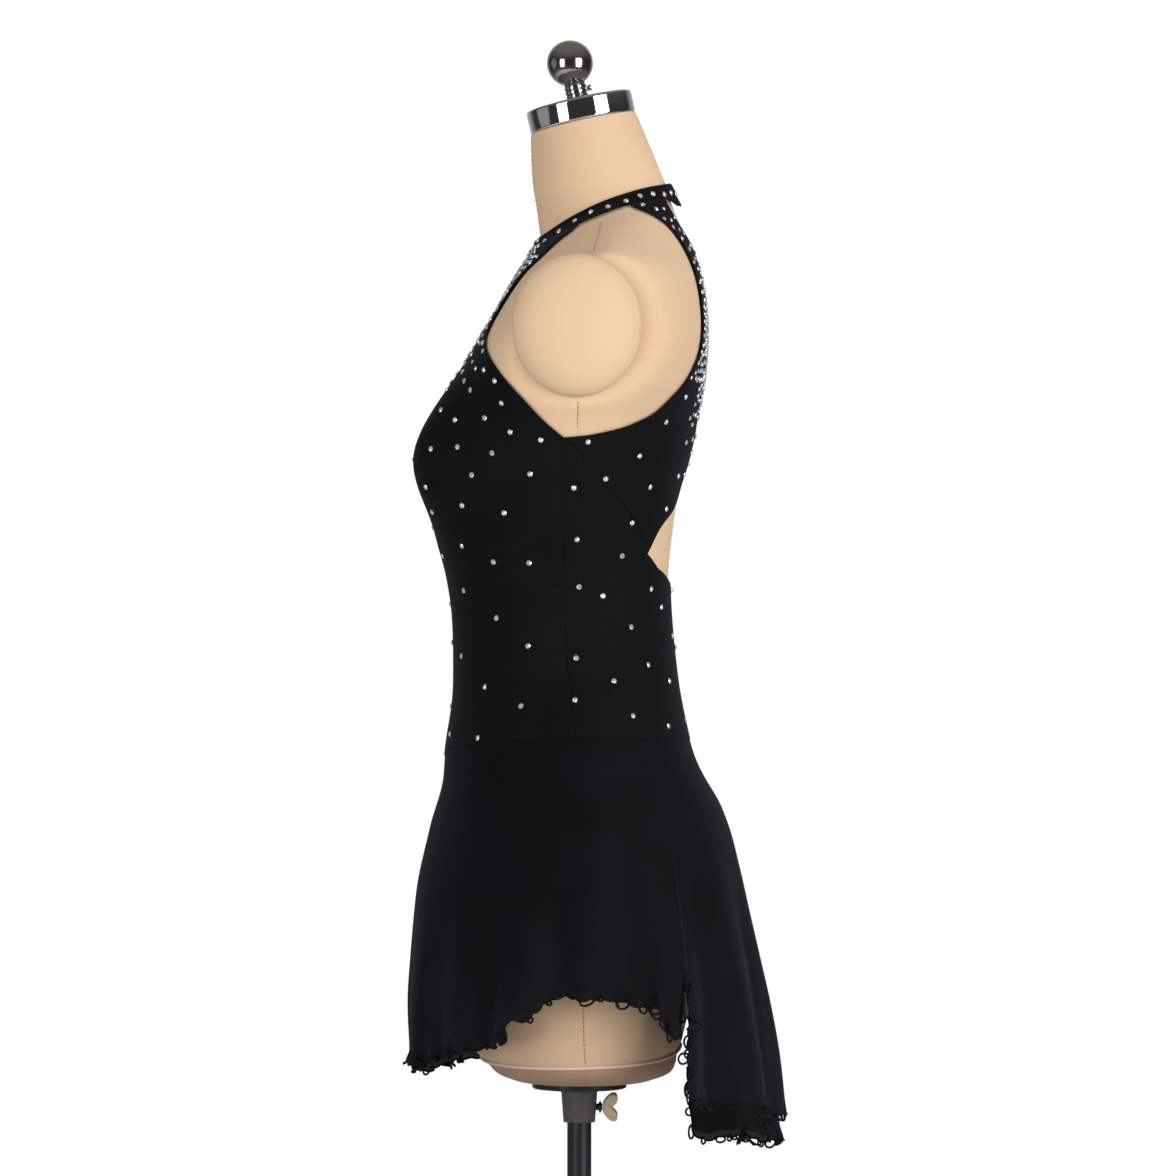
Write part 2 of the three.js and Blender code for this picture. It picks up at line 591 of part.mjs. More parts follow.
// The stem goes through the collar to the pole; the wing is turned a little off upright.
function thumbScrew() {
  const tilt = 18;
  const tip = POLE_RADIUS + 0.3;
  const stem = [
    [0, tip], [SCREW.stemRadius, tip], [SCREW.stemRadius, 16.9], [5, 17.3], [5, 18.9],
    [SCREW.stemRadius, 19.4], [SCREW.stemRadius, SCREW.knobStart - 0.3], [0, SCREW.knobStart - 0.3],
  ];
  const screw = turned(stem, 16).rotateX(-Math.PI / 2).translate(0, 0, SCREW.height);
  add('thumb_screw', screw, BLACK_STEEL);
  const wing = { half: 14, thick: 7 };
  const outline = new THREE.Shape();
  outline.moveTo(0, -4);
  outline.bezierCurveTo(5, -wing.half, SCREW.knobLength, -wing.half - 2, SCREW.knobLength, -8);
  outline.bezierCurveTo(SCREW.knobLength, -4, 8, -3, 8, 0);
  outline.bezierCurveTo(8, 3, SCREW.knobLength, 4, SCREW.knobLength, 8);
  outline.bezierCurveTo(SCREW.knobLength, wing.half + 2, 5, wing.half, 0, 4);
  outline.closePath();
  const settings = { depth: wing.thick, bevelEnabled: false, curveSegments: 6 };
  const knob = new THREE.ExtrudeGeometry(outline, settings)
    .translate(0, 0, -wing.thick / 2)
    .rotateX(Math.PI / 2)
    .rotateZ(Math.PI / 2)
    .rotateY(tilt * RAD)
    .translate(0, SCREW.knobStart, SCREW.height);
  add('wing_knob', knob, CREAM);
}

function pole() {
  const bottom = FOOT_THICK + 0.3;
  add('pole', new THREE.CylinderGeometry(POLE_RADIUS, POLE_RADIUS, POLE_TOP - bottom, 32)
    .rotateX(Math.PI / 2).translate(0, 0, (POLE_TOP + bottom) / 2), BLACK_STEEL);
}

// Flat round foot with a low boss round the pole.
function foot() {
  add('foot', turned([
    [0, 0], [FOOT_RADIUS, 0], [FOOT_RADIUS, FOOT_THICK - 2], [FOOT_RADIUS - 2, FOOT_THICK],
    [24, FOOT_THICK], [20, 30], [BORE_RADIUS, 30], [BORE_RADIUS, FOOT_THICK], [0, FOOT_THICK],
  ], 48), BLACK_STEEL);
}

basePlate();
collar();
thumbScrew();
pole();
foot();

export default group;
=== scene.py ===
"""Figure skating dress on a limbless dress form: cloth, crystals, finishes, light and camera."""
import math
import random

import bpy
import numpy as np
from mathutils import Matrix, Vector
from mathutils.bvhtree import BVHTree
from mathutils.kdtree import KDTree

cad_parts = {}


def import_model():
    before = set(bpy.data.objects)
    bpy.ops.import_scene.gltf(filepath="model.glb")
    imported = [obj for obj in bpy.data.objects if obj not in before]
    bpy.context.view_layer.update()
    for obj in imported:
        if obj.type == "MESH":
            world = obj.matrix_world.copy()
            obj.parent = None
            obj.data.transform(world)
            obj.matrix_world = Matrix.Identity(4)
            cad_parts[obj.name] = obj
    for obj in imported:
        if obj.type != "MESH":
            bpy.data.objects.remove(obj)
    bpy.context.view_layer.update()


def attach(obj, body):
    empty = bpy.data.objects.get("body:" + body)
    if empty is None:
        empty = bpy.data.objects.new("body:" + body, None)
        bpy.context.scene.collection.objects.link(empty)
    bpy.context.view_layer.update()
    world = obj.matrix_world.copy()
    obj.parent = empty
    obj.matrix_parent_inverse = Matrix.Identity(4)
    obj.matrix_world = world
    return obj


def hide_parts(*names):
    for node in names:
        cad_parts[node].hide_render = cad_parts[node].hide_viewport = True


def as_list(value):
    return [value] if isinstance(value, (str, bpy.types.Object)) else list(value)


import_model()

MM = 0.001
RAD = math.pi / 180
TURN = 2 * math.pi

# ---- camera: level, on the wearer's left ----
IMAGE_SIDE = 1176
CAMERA_PLACE = (4.9, 0.0076, 1.0624)
SENSOR = 36.0
LENS = 172.4


def make_camera():
    data = bpy.data.cameras.new("camera")
    data.lens = LENS
    data.sensor_width = SENSOR
    data.sensor_fit = "HORIZONTAL"
    data.clip_end = 50
    camera = bpy.data.objects.new("camera", data)
    camera.location = CAMERA_PLACE
    camera.rotation_euler = (math.pi / 2, 0, math.pi / 2)
    bpy.context.scene.collection.objects.link(camera)
    bpy.context.scene.camera = camera


make_camera()

# ---- the form: the same sections and cups as the CAD, in millimetres ----
INNER = 1.4        # the knit's gap to the form
KNIT_WALL = 1.5    # the CAD solid's wall; the thin cloth lies in its middle
MIDDLE = INNER + KNIT_WALL / 2
KNIT_HALF = 0.62   # half of the thin cloth's own thickness
CHEST_LINE = 1190  # height of the armhole's lowest point
SIDE_SEAM = -1     # angle of the side seam, from +X towards the back
ARM_PLANE = 172    # how far out the form is cut flat for its shoulder plates
ARM_BLEND = {"from": 1200, "to": 1240, "soft": 4}    # heights over which that cut's corner softens
BRIDGE = 0.45      # how far the knit spans the hollow between the cups
TORSO_BOTTOM, TORSO_TOP = 638, 1466.5
# Rows of height, front, back, half width, middle, lean in degrees and squareness.
FRONT, BACK, SIDE, MID, LEAN, SQUARE = range(1, 7)
FORM_SECTIONS = [
    [638, -60, 66, 106, 3, 0, 2.2], [643, -72, 79, 126, 3, 0, 2.2], [650, -79, 83.5, 136, 3, 0, 2.2],
    [658, -87, 85, 139.5, 2, 0, 2.2], [670, -97, 89, 144, 1, 0, 2.2],
    [704, -107, 97, 152, 0, 0, 2.2], [747, -115, 105.5, 160, 0, 0, 2.2],
    [791, -119, 113, 166, 0, 0, 2.2], [834, -119.5, 116, 168.5, 0, 0, 2.2],
    [887, -115.5, 105.5, 163, 0, 0, 2.2], [920, -114.5, 96.5, 154.5, 0, 0, 2.2],
    [965, -108, 86.5, 136, -4, 0, 2.2], [996, -107, 82, 123, -8, 0, 2.2],
    [1039, -108, 78, 115, -10, 0, 2.2], [1072, -111.5, 77, 118, -12, 0, 2.2],
    [1100, -115.5, 79.5, 124, -12, 0, 2.2], [1128, -117, 83, 133, -12, 0, 2.2],
    [1150, -118, 86.5, 141, -12, 0, 2.2], [1172, -118, 92.7, 148, -12, 0, 2.2],
    [1190, -116, 97, 154, -10, 0, 2.2], [1205, -113, 99.6, 163, -8, 0, 2.25],
    [1222, -108, 102.6, 177, -4, 0, 2.35], [1240, -101, 105.6, 191, 0, 0, 2.45],
    [1275, -84, 108.3, 204, 4, 0, 2.6], [1308, -66.5, 107.3, 200, 12, 0.5, 2.2],
    [1334, -53.5, 102.8, 188, 20, 2, 1.8], [1352, -44.5, 96, 152, 26, 5, 1.6],
    [1368, -39, 87.5, 112, 27, 10, 1.6], [1380, -35.5, 80, 75, 24, 17, 1.8],
    [1390, -34, 76, 58, 20.5, 21, 2.0], [1404, -36, 71.5, 51, 16.5, 18, 2.0],
    [1431, -40.5, 62.5, 48, 11, 14, 2.0], [1466.5, -42, 48.7, 45.3, 3.5, 12.5, 2.0],
]
CUP = {"side": 80, "height": 1172, "depth": 31, "across": 46, "above": 58, "below": 66}

# The bodice's edges, as angle and height, and the neck band's top and bottom at each angle.
SKIRT_SEAM = [
    [-90, 916], [-60, 924], [-39, 930], [-9, 936], [14, 935], [47, 932], [90, 930],
]
LOWER_BACK_TOP = [[-1, 1190], [39, 1092], [50, 1079.6], [70, 1070], [90, 1063.5]]
LOWER_BACK_ANGLES = [-1, 4, 10, 17, 24, 31, 36, 39, 44, 50, 60, 70, 80, 90]
BAND = [
    [-90, 1386, 1372], [-60, 1387, 1374], [-30, 1391, 1379.5], [0, 1393.5, 1382.5],
    [30, 1393, 1383], [60, 1391.5, 1382], [90, 1391.5, 1381],
]
# The band runs once round; its end stands proud of the nape, leans in and droops.
BAND_START, BAND_END, BAND_LIFT, BAND_LIFT_FROM = 96, 464, 6.5, 418
BAND_LEAN, BAND_DROOP, BAND_DROOP_SPAN = 0.6, 4.5, (420, 440)
# Armhole edge of the front as height and angle, and of the upper back as the outer edge's
# height and angle, then the inner edge's.
ARMHOLE_FRONT = [
    [1190, -1], [1196, -3.8], [1202, -6.5], [1210, -9.6], [1218, -12.5], [1227, -15.8],
    [1237, -19.5], [1254, -26], [1269, -33], [1283, -39.5], [1298.5, -45.5], [1314, -46.5],
    [1328, -43.5], [1342, -39.5], [1354.5, -36], [1368, -29], [1380.4, -19.6],
]
UPPER_BACK = [
    [1382, 18, 1381.2, 59], [1377.6, 22, 1377, 59.5], [1372, 29, 1372, 61],
    [1365.5, 38, 1366.5, 65], [1357.5, 45, 1360.5, 72], [1347, 50, 1353.5, 82],
    [1334, 52, 1342, 90], [1320, 52.6, 1323, 90], [1306, 51.6, 1306, 90],
    [1289, 49.6, 1289, 90], [1271, 46, 1272, 90], [1256, 42, 1257, 90],
    [1239, 36.3, 1243, 90], [1224.5, 31.2, 1229, 90], [1212, 27, 1216, 90],
    [1204.5, 22, 1204, 90], [1198.5, 16.5, 1191, 90], [1193.3, 8.6, 1178, 90],
    [1192, 6, 1160, 82], [1191.3, 3.6, 1136, 69.5], [1190.7, 1.4, 1116, 49],
    [1190, -1, 1092, 39],
]

# ---- the skirt: outline (height, front, back, half width), hem and folds as in the CAD ----
SKIRT_OUTLINE = [
    [560, -146, 175, 222], [601, -147, 172.5, 216], [658, -147, 169, 208],
    [704, -149, 162.5, 202], [743, -147, 155, 196], [788, -143, 146, 188],
    [813, -139.5, 141, 184], [850, -131, 132, 178], [878, -124.5, 121.5, 172],
    [906, -119.5, 109, 163], [940, -117, 99, 152],
]
SKIRT_SQUARE = 2.1
SKIRT_HANG = 60    # drop over which the skirt leaves the form
SKIRT_TUCK = 1.2   # how far its top goes up inside the bodice's lower edge
HEM = [
    [-180, 683], [-172, 681], [-164, 672], [-159, 654], [-151, 641], [-140, 638], [-120, 637],
    [-105, 643], [-90, 651], [-75, 653], [-58, 656.5], [-42, 663], [-38, 669], [-30, 672],
    [-24, 677], [-19.5, 684], [-15.5, 701], [-11.5, 705], [-8.5, 717], [0, 720], [7, 720],
    [14, 714], [18.5, 712], [19.8, 708], [20.8, 693], [21.8, 687], [23, 686], [24.2, 693],
    [25.2, 710],
    [26.4, 728], [27.6, 728], [28.2, 700], [28.8, 662], [29.6, 641], [33.5, 634], [49, 625],
    [60, 618], [74, 611], [90, 602], [100, 583], [110, 576], [123, 575], [135, 572],
    [143, 569], [147.2, 570], [148.4, 582], [148.9, 620], [149.4, 680], [150, 704], [152, 711],
    [156, 704], [163, 690], [180, 683],
]
# How far the tail's two edges swing round as they hang: height and degrees, and the angles
# between which each swing starts, is full, and ends.
NEAR_SWING = [[560, -3.9], [641, -3.6], [662, -2.4], [700, -0.8], [730, 0], [950, 0]]
FAR_SWING = [
    [560, 0.3], [590, 0.2], [620, -0.8], [680, -2.4], [706, -3.2], [730, -3.2], [860, 0], [950, 0],
]
NEAR_REACH, FAR_REACH = (26.8, 28, 31, 55), (135, 147.5, 150.5, 168)
# Main folds: angle at the seam and at the hem, width, depth, and where along its drop each starts.
FOLDS = [
    [-12, -27, 8, -15, 0.0], [-14, -15, 7, 8, 0.15], [-5, -6, 5, -10, 0.3],
    [3, 4, 6, 9, 0.2], [10, 12, 5, -11, 0.25], [20, 25, 7, 10, 0.2],
    [32, 41, 6, -20, 0.2], [46, 54, 8, 9, 0.25], [60, 68, 6, -10, 0.3],
    [74, 82, 7, 8, 0.2], [88, 96, 5, -11, 0.25], [102, 110, 8, 9, 0.2],
    [118, 124, 6, -12, 0.15], [131, 138, 7, 9, 0.3], [147, 151, 6, -16, 0.2],
    [160, 164, 7, 9, 0.25], [172, 175, 5, -10, 0.2], [184, 187, 6, 8, 0.3],
    [193, 200, 7, -13, 0.1], [206, 214, 7, 8, 0.3], [219, 227, 6, -8, 0.4],
    [233, 240, 8, 6, 0.35], [247, 252, 7, -6, 0.45], [281, 284, 8, -6, 0.45],
    [300, 300, 9, 7, 0.35], [318, 315, 7, -8, 0.3],
]


def straight(table, at, column=1):
    rows = np.asarray(table, float)
    return np.interp(at, rows[:, 0], rows[:, column])


def smooth(table, at, column=1):
    """Cubic through the rows, with each slope taken across its neighbours."""
    rows = np.asarray(table, float)
    x, y = rows[:, 0], rows[:, column]
    low, high = np.maximum(np.arange(len(x)) - 1, 0), np.minimum(np.arange(len(x)) + 1, len(x) - 1)
    slope = (y[high] - y[low]) / (x[high] - x[low])
    i = np.clip(np.searchsorted(x, at, "left") - 1, 0, len(x) - 2)
    span = x[i + 1] - x[i]
    t = np.clip((at - x[i]) / span, 0, 1)
    rise = t * t * (3 - 2 * t)
    return (
        y[i] * (1 - rise) + y[i + 1] * rise
        + slope[i] * span * t * (1 - t) ** 2
        - slope[i + 1] * span * t * t * (1 - t)
    )


def step(value, low, high):
    """From 0 at low to 1 at high, with a soft start and end."""
    t = np.clip((value - low) / (high - low), 0, 1)
    return t * t * (3 - 2 * t)


def mirrored(angle):
    """The form is the same on both sides: any angle folds to -90..90."""
    turned = (np.asarray(angle, float) + 90) % 360 - 90
    return np.where(turned > 90, 180 - turned, turned)


def ring_radius(front, back, side, square, angle):
    """Radius of a squared oval at an angle, with its own front and back."""
    c = np.abs(np.cos(angle * RAD)) / side
    s = np.sin(angle * RAD)
    d = np.abs(s) / np.where(s > 0, back, -front)
    return (c ** square + d ** square) ** (-1 / square)


def form_point(height, angle, bridge=0.0):
    """A point of the form's surface: the sections, the cups and the flat cut at the arms."""
    height, angle = np.broadcast_arrays(np.asarray(height, float), np.asarray(angle, float))
    at = [None] + [smooth(FORM_SECTIONS, height, column) for column in range(1, 7)]
    r = ring_radius(at[FRONT] - at[MID], at[BACK] - at[MID], at[SIDE], at[SQUARE], angle)
    across, along = r * np.cos(angle * RAD), r * np.sin(angle * RAD)
    up = height - CUP["height"]
    fall = np.exp(-(up / np.where(up > 0, CUP["above"], CUP["below"])) ** 2)
    off = (np.abs(across) - CUP["side"]) / CUP["across"]
    whole = np.exp(-off * off)
    cup = np.where(off < 0, bridge + (1 - bridge) * whole, whole)
    ahead = step(-np.sin(angle * RAD), 0, 0.5)
    soft = ARM_BLEND["soft"] * step(height, ARM_BLEND["from"], ARM_BLEND["to"])
    reach = np.abs(across)
    corner = soft * np.log1p(np.exp(-np.abs(reach - ARM_PLANE) / np.maximum(soft, 0.001)))
    return np.stack([
        np.sign(across) * (np.minimum(reach, ARM_PLANE) - corner),
        at[MID] + along - (CUP["depth"] + bridge * 2) * fall * cup * ahead,
        height + along * np.tan(at[LEAN] * RAD),
    ], -1)


def normals_of(surface, u, v, reach=0.4):
    across = surface(u, v + reach) - surface(u, v - reach)
    up = surface(u + reach, v) - surface(u - reach, v)
    out = np.cross(across, up)
    return out / np.linalg.norm(out, axis=-1, keepdims=True)


def knit_base(height, angle):
    return form_point(height, angle, BRIDGE)


def knit_place(height, angle, distance):
    normal = normals_of(knit_base, height, angle, 0.5)
    return knit_base(height, angle) + normal * np.asarray(distance)[..., None], normal


def wrapped(angle):
    """The same angle between -180 and 180."""
    return (angle + 180) % 360 - 180


def fold_depth(share, angle):
    total = np.zeros(np.shape(angle))
    for top, hem, width, depth, start in FOLDS:
        away = wrapped(angle - (top + (hem - top) * share))
        grown = np.clip((share - start) / (1 - start), 0, 1)
        total += depth * grown ** 1.3 * np.exp(-(away / width) ** 2)
    return total


def swung(height, angle):
    def within(start, full, still, end):
        return step(angle, start, full) * (1 - step(angle, still, end))
    near = smooth(NEAR_SWING, height) * within(*NEAR_REACH)
    return angle + near + smooth(FAR_SWING, height) * within(*FAR_REACH)


def skirt_base(share, angle):
    share = np.clip(share, 0, 1)
    seam = straight(SKIRT_SEAM, mirrored(angle)) + SKIRT_TUCK
    height = seam + (smooth(HEM, wrapped(angle)) - seam) * share
    place = swung(height, angle)
    outline = ring_radius(
        smooth(SKIRT_OUTLINE, height, 1), smooth(SKIRT_OUTLINE, height, 2),
        smooth(SKIRT_OUTLINE, height, 3), SKIRT_SQUARE, place,
    )
    form = form_point(np.maximum(height, TORSO_BOTTOM), place)
    held = np.hypot(form[..., 0], form[..., 1]) + MIDDLE
    free = step(seam - height, 0, SKIRT_HANG)
    hung = held + (outline - held) * free + fold_depth(share, angle) + ripples(share, angle)
    r = np.maximum(hung, held)
    return np.stack([r * np.cos(place * RAD), r * np.sin(place * RAD), height], -1)


# Small folds between the main ones: angle, lean towards the hem, half width, depth, start.
RIPPLES = [
    [-32, 3, 3.5, 2.2, 0.45], [-21, -4, 3, -2.0, 0.3], [-9, -1, 2.5, 1.8, 0.5],
    [7, 2, 3, 1.9, 0.45], [15, 3, 2.6, -1.8, 0.5], [28, 4, 3, 1.8, 0.35],
    [38, 6, 3.4, 2.4, 0.5], [66, 5, 3, 2.1, 0.4], [81, 7, 2.8, -2.2, 0.45],
    [95, 6, 3.2, 2.2, 0.35], [113, 5, 3, -1.9, 0.5], [126, 4, 2.8, 2.0, 0.4],
    [141, 6, 3, -2.1, 0.45], [155, 3, 2.7, 1.9, 0.4], [168, 3, 3, -1.8, 0.5],
    [180, 2, 3.2, 1.9, 0.35], [190, 5, 2.8, -2.0, 0.5], [212, 5, 3, -2.0, 0.4],
    [226, 6, 3.3, 2.0, 0.5], [243, 4, 3, 1.8, 0.45], [262, 2, 3.6, -1.6, 0.5],
    [273, 1, 3.4, 1.6, 0.55], [291, 0, 3, 1.8, 0.45], [309, -2, 3.2, -2.0, 0.4],
]


def ripples(share, angle):
    total = np.zeros(np.shape(angle))
    for at, lean, width, depth, start in RIPPLES:
        away = wrapped(angle - at - lean * share)
        total += depth * step(share, start, 1) * np.exp(-(away / width) ** 2)
    return total


# ---- meshes ----
def unit(vectors):
    return vectors / np.linalg.norm(vectors, axis=-1, keepdims=True)


def length_along(line):
    """How far each point lies along a line of points."""
    return np.concatenate([[0], np.cumsum(np.linalg.norm(np.diff(line, axis=0), axis=1))])


def make_object(name, points, faces, soft=True):
    """A mesh object from points in millimetres."""
    mesh = bpy.data.meshes.new(name)
    mesh.from_pydata([tuple(p) for p in np.asarray(points) * MM], [], faces)
    mesh.validate()
    mesh.update()
    if soft:
        mesh.shade_smooth()
    piece = bpy.data.objects.new(name, mesh)
    bpy.context.scene.collection.objects.link(piece)
    return piece


def ride(piece, body, finish, replaces=()):
    """Give a piece its finish and body, and hide the CAD nodes that it stands for."""
    piece.data.materials.append(MATERIALS[finish])
    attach(piece, body)
    if replaces:
        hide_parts(*replaces)
    return piece


def grid_index(rows, columns, around=False, closed=False):
    """Point numbers of a grid, joined up round each row and, if closed, last row to first."""
    index = np.arange(rows * columns).reshape(rows, columns)
    if around:
        index = np.concatenate([index, index[:, :1]], 1)
    if closed:
        index = np.concatenate([index, index[:1]], 0)
    return index


def quads_of(index, flip=False):
    """Quads between the entries of a grid of point numbers."""
    a, b, c, d = index[:-1, :-1], index[:-1, 1:], index[1:, 1:], index[1:, :-1]
    order = (a, d, c, b) if flip else (a, b, c, d)
    return np.stack(order, -1).reshape(-1, 4).tolist()


EDGE_ROUND = [0.0, 0.72, 1.0]   # how thick the cloth is at its very edge and just inside it
RIMS = {}                       # each cloth's edge points, which the crystals keep away from


def shell(name, middle, normal):
    """A closed thin cloth with rounded edges round a grid of middle points."""
    rows, columns = middle.shape[:2]
    i, j = np.indices((rows, columns))
    inside = np.minimum(np.minimum(i, rows - 1 - i), np.minimum(j, columns - 1 - j))
    thick = (KNIT_HALF * np.asarray(EDGE_ROUND)[np.minimum(inside, 2)])[..., None]
    outer = grid_index(rows, columns)
    inner = outer.copy()
    within = inside > 0
    inner[within] = rows * columns + np.arange(within.sum())
    points = np.concatenate([
        (middle + normal * thick).reshape(-1, 3), (middle - normal * thick)[within],
    ])
    piece = make_object(name, points, quads_of(outer) + quads_of(inner, flip=True))
    RIMS[name] = middle[inside == 0] * MM
    return piece


ANY_SIDE = (0.31, 0.22, 0.92)   # a direction that no tube starts along


def tube_mesh(line, radius, sides, closed=False):
    """Points and faces of a round tube along a line, capped unless it closes on itself."""
    line = np.asarray(line, float)
    count = len(line)
    ahead = np.roll(line, -1, 0) - np.roll(line, 1, 0) if closed else np.gradient(line, axis=0)
    tangent = unit(ahead)
    side = np.zeros_like(line)
    side[0] = unit(np.cross(tangent[0], ANY_SIDE))
    for k in range(1, count):
        side[k] = unit(side[k - 1] - tangent[k] * side[k - 1].dot(tangent[k]))
    other = np.cross(tangent, side)
    turn = (np.arange(sides) * TURN / sides)[:, None]
    rings = line[:, None] + radius * (side[:, None] * np.cos(turn) + other[:, None] * np.sin(turn))
    faces = quads_of(grid_index(count, sides, around=True, closed=closed), flip=True)
    if not closed:
        last = (count - 1) * sides
        faces += [tuple(range(sides)), tuple(range(last + sides - 1, last - 1, -1))]
    return rings.reshape(-1, 3), faces


def tube(name, line, radius, sides, closed=False):
    return make_object(name, *tube_mesh(line, radius, sides, closed))


def tubes(name, lines, radius, sides):
    """Several round tubes as one mesh."""
    points, faces = [], []
    for line in lines:
        more, quads = tube_mesh(line, radius, sides)
        faces += [tuple(v + len(points) for v in face) for face in quads]
        points += more.tolist()
    return make_object(name, points, faces)


def spread(count, edges):
    """Shares from 0 to 1, even but for the first and last steps, which are as given."""
    first = np.cumsum([0, *edges])
    main = np.linspace(first[-1], 1 - first[-1], count)
    return np.concatenate([first[:-1], main, 1 - first[:-1][::-1]])


# ---- the bodice and the neck band ----
# Creases: from height and angle, to height and angle, half width and depth (minus for a trough).
CREASES = [
    [1182, -16, 1160, -34, 7, -0.9], [1176, -10, 1146, -22, 5, 0.7],
    [1168, 6, 1128, 18, 6, -0.7], [1050, -70, 1042, -38, 6, -0.8],
    [1036, -62, 1028, -20, 7, 0.9], [1022, -48, 1014, -6, 6, -0.8],
    [1006, -26, 1000, 14, 6, 0.7], [1046, 12, 1038, 44, 6, -0.7],
    [1028, 30, 1022, 70, 6, 0.8], [1010, 48, 1006, 86, 5, -0.7],
    [978, -80, 972, -40, 7, 0.7], [1182, 196, 1160, 214, 6, -0.8],
    [1052, 250, 1046, 222, 7, -0.9], [1034, 236, 1026, 200, 6, 0.8],
    [1018, 228, 1008, 184, 7, -0.7], [1040, 168, 1034, 136, 6, -0.8],
    [1020, 150, 1014, 108, 6, 0.7], [1300, 66, 1268, 60, 5, -0.6],
    [1300, 112, 1262, 121, 5, -0.6], [1236, 64, 1214, 74, 6, 0.6],
    [1240, 118, 1214, 104, 6, 0.6], [1112, -104, 1080, -98, 8, -0.9],
    [1110, -72, 1076, -80, 7, -0.8],
]
CREASE_SCALE = 2.2  # millimetres of cloth in one degree round the form


def knit_relief(height, angle):
    """How far the creases lift or sink the knit."""
    total = np.zeros(np.shape(angle))
    for h0, a0, h1, a1, width, depth in CREASES:
        x = wrapped(angle - a0) * CREASE_SCALE
        y = height - h0
        dx, dy = (a1 - a0) * CREASE_SCALE, h1 - h0
        length = math.hypot(dx, dy)
        along = (x * dx + y * dy) / length
        off = (x * dy - y * dx) / length
        taper = step(along, -width, 0.35 * length) * (1 - step(along, 0.6 * length, length + width))
        total += depth * taper * np.exp(-(off / width) ** 2)
    return total


def knit_piece(name, height, angle):
    middle, normal = knit_place(height, angle, MIDDLE + knit_relief(height, angle))
    return shell(name, middle, normal)


def skirt_seam(angle):
    return straight(SKIRT_SEAM, mirrored(angle))


def band_top(angle):
    return smooth(BAND, mirrored(angle), 1)


def band_bottom(angle):
    return smooth(BAND, mirrored(angle), 2)


def front_bodice():
    """Rows from the skirt seam to the chest line, then between the armholes to the neck band."""
    columns = spread(118, [0.0008, 0.0012, 0.002])
    rows_h, rows_a = [], []

    def add_row(side_angle, height_at):
        angle = -180 - side_angle + (180 + 2 * side_angle) * columns
        rows_a.append(angle)
        rows_h.append(height_at(angle))

    for share in spread(92, [0.0012, 0.002, 0.003])[:-3]:
        add_row(SIDE_SEAM, lambda a: skirt_seam(a) + (CHEST_LINE - skirt_seam(a)) * share)
    table = [[i, *row] for i, row in enumerate(ARMHOLE_FRONT)]
    last = len(table) - 1
    for at in [*np.linspace(0, last - 0.1, 72), last - 0.06, last - 0.025, last]:
        height, side_angle = float(smooth(table, at, 1)), float(smooth(table, at, 2))
        share = min((height - CHEST_LINE) / (band_bottom(side_angle) - CHEST_LINE), 1)
        add_row(side_angle, lambda a: CHEST_LINE + (band_bottom(a) - CHEST_LINE) * share)
    return knit_piece("bodice_front", np.array(rows_h), np.array(rows_a))


def upper_back(name, side):
    """Half of the racer strap with its wing, from the outer edge to the inner one."""
    table = np.array([[i, *row] for i, row in enumerate(UPPER_BACK)], float)
    last = len(table) - 1
    steps = [0, 0.08, 0.2, *np.linspace(0.4, last - 0.3, 96), last - 0.06, last - 0.02, last]
    across = spread(34, [0.006, 0.01, 0.018])
    outer_h, outer_a, inner_h, inner_a = (smooth(table, steps, c)[:, None] for c in range(1, 5))
    angle = outer_a + (np.minimum(inner_a, 90) - outer_a) * across
    height = outer_h + (inner_h - outer_h) * across
    height[0] = band_bottom(angle[0])
    if side < 0:
        angle = 180 - angle[:, ::-1]
        height = height[:, ::-1]
    return knit_piece(name, height[::-1], angle[::-1])


def lower_back():
    """Four columns between each pair of the CAD's angles, and finer ones at the side seams."""
    whole = LOWER_BACK_ANGLES + [180 - a for a in LOWER_BACK_ANGLES[-2::-1]]
    angle = np.interp(np.arange(0, (len(whole) - 1) * 4 + 1) / 4, np.arange(len(whole)), whole)
    edge = np.array([0.12, 0.4])
    angle = np.concatenate([angle[:1], angle[0] + edge, angle[1:-1], angle[-1] - edge[::-1], angle[-1:]])
    share = spread(60, [0.003, 0.005, 0.009])[:, None]
    seam = skirt_seam(angle)
    top = straight(LOWER_BACK_TOP, mirrored(angle))
    return knit_piece("bodice_lower_back", seam + (top - seam) * share, np.tile(angle, (len(share), 1)))


def band_lift(angle, share):
    """How far the band's end stands off, and how far it droops, at a share of the band's height."""
    lift = BAND_LIFT * step(angle, BAND_LIFT_FROM, BAND_END) * (1 - BAND_LEAN * share)
    return lift, BAND_DROOP * step(angle, *BAND_DROOP_SPAN) * (1 - share)


def neck_band():
    angle = BAND_START + (BAND_END - BAND_START) * spread(190, [0.0005, 0.0008, 0.0015])
    share = spread(7, [0.05, 0.06, 0.1])[:, None]
    lift, droop = band_lift(angle, share)
    height = band_bottom(angle) + (band_top(angle) - band_bottom(angle)) * share - droop
    middle, normal = knit_place(height, np.tile(angle, (len(share), 1)), MIDDLE + lift)
    return shell("neck_band_cloth", middle, normal)


# ---- the skirt with its rolled, waved hem ----
SKIRT_ROWS = (53, 17)    # rows down to the hem's zone, and in it
FINE_STEPS = 4000        # for measuring the hem
SKIRT_EASE = 0.92        # the upper rows lie a little closer towards the hem
HEM_REACH = 17           # the frill's depth above the hem, in millimetres
HEM_ZONE = HEM_REACH * 1.7    # where the rows lie close
HEM_ROLL = 0.9           # radius of the rolled edge
CORD = HEM_ROLL * 1.1    # radius of the loose cord
FRILL_SHEER = 6          # the cloth is stretched thin this far above the hem
SEAM_CALM = 6            # length beside a side seam over which the frill dies away
# How much of the frill's wave each part of the hem has: angle and share.
FRILL_SHARE = [
    [-1, 1], [20, 0.9], [27, 0.5], [32, 0.2], [92, 0.15], [99, 0.6], [110, 0.8], [181, 1], [360, 1],
]
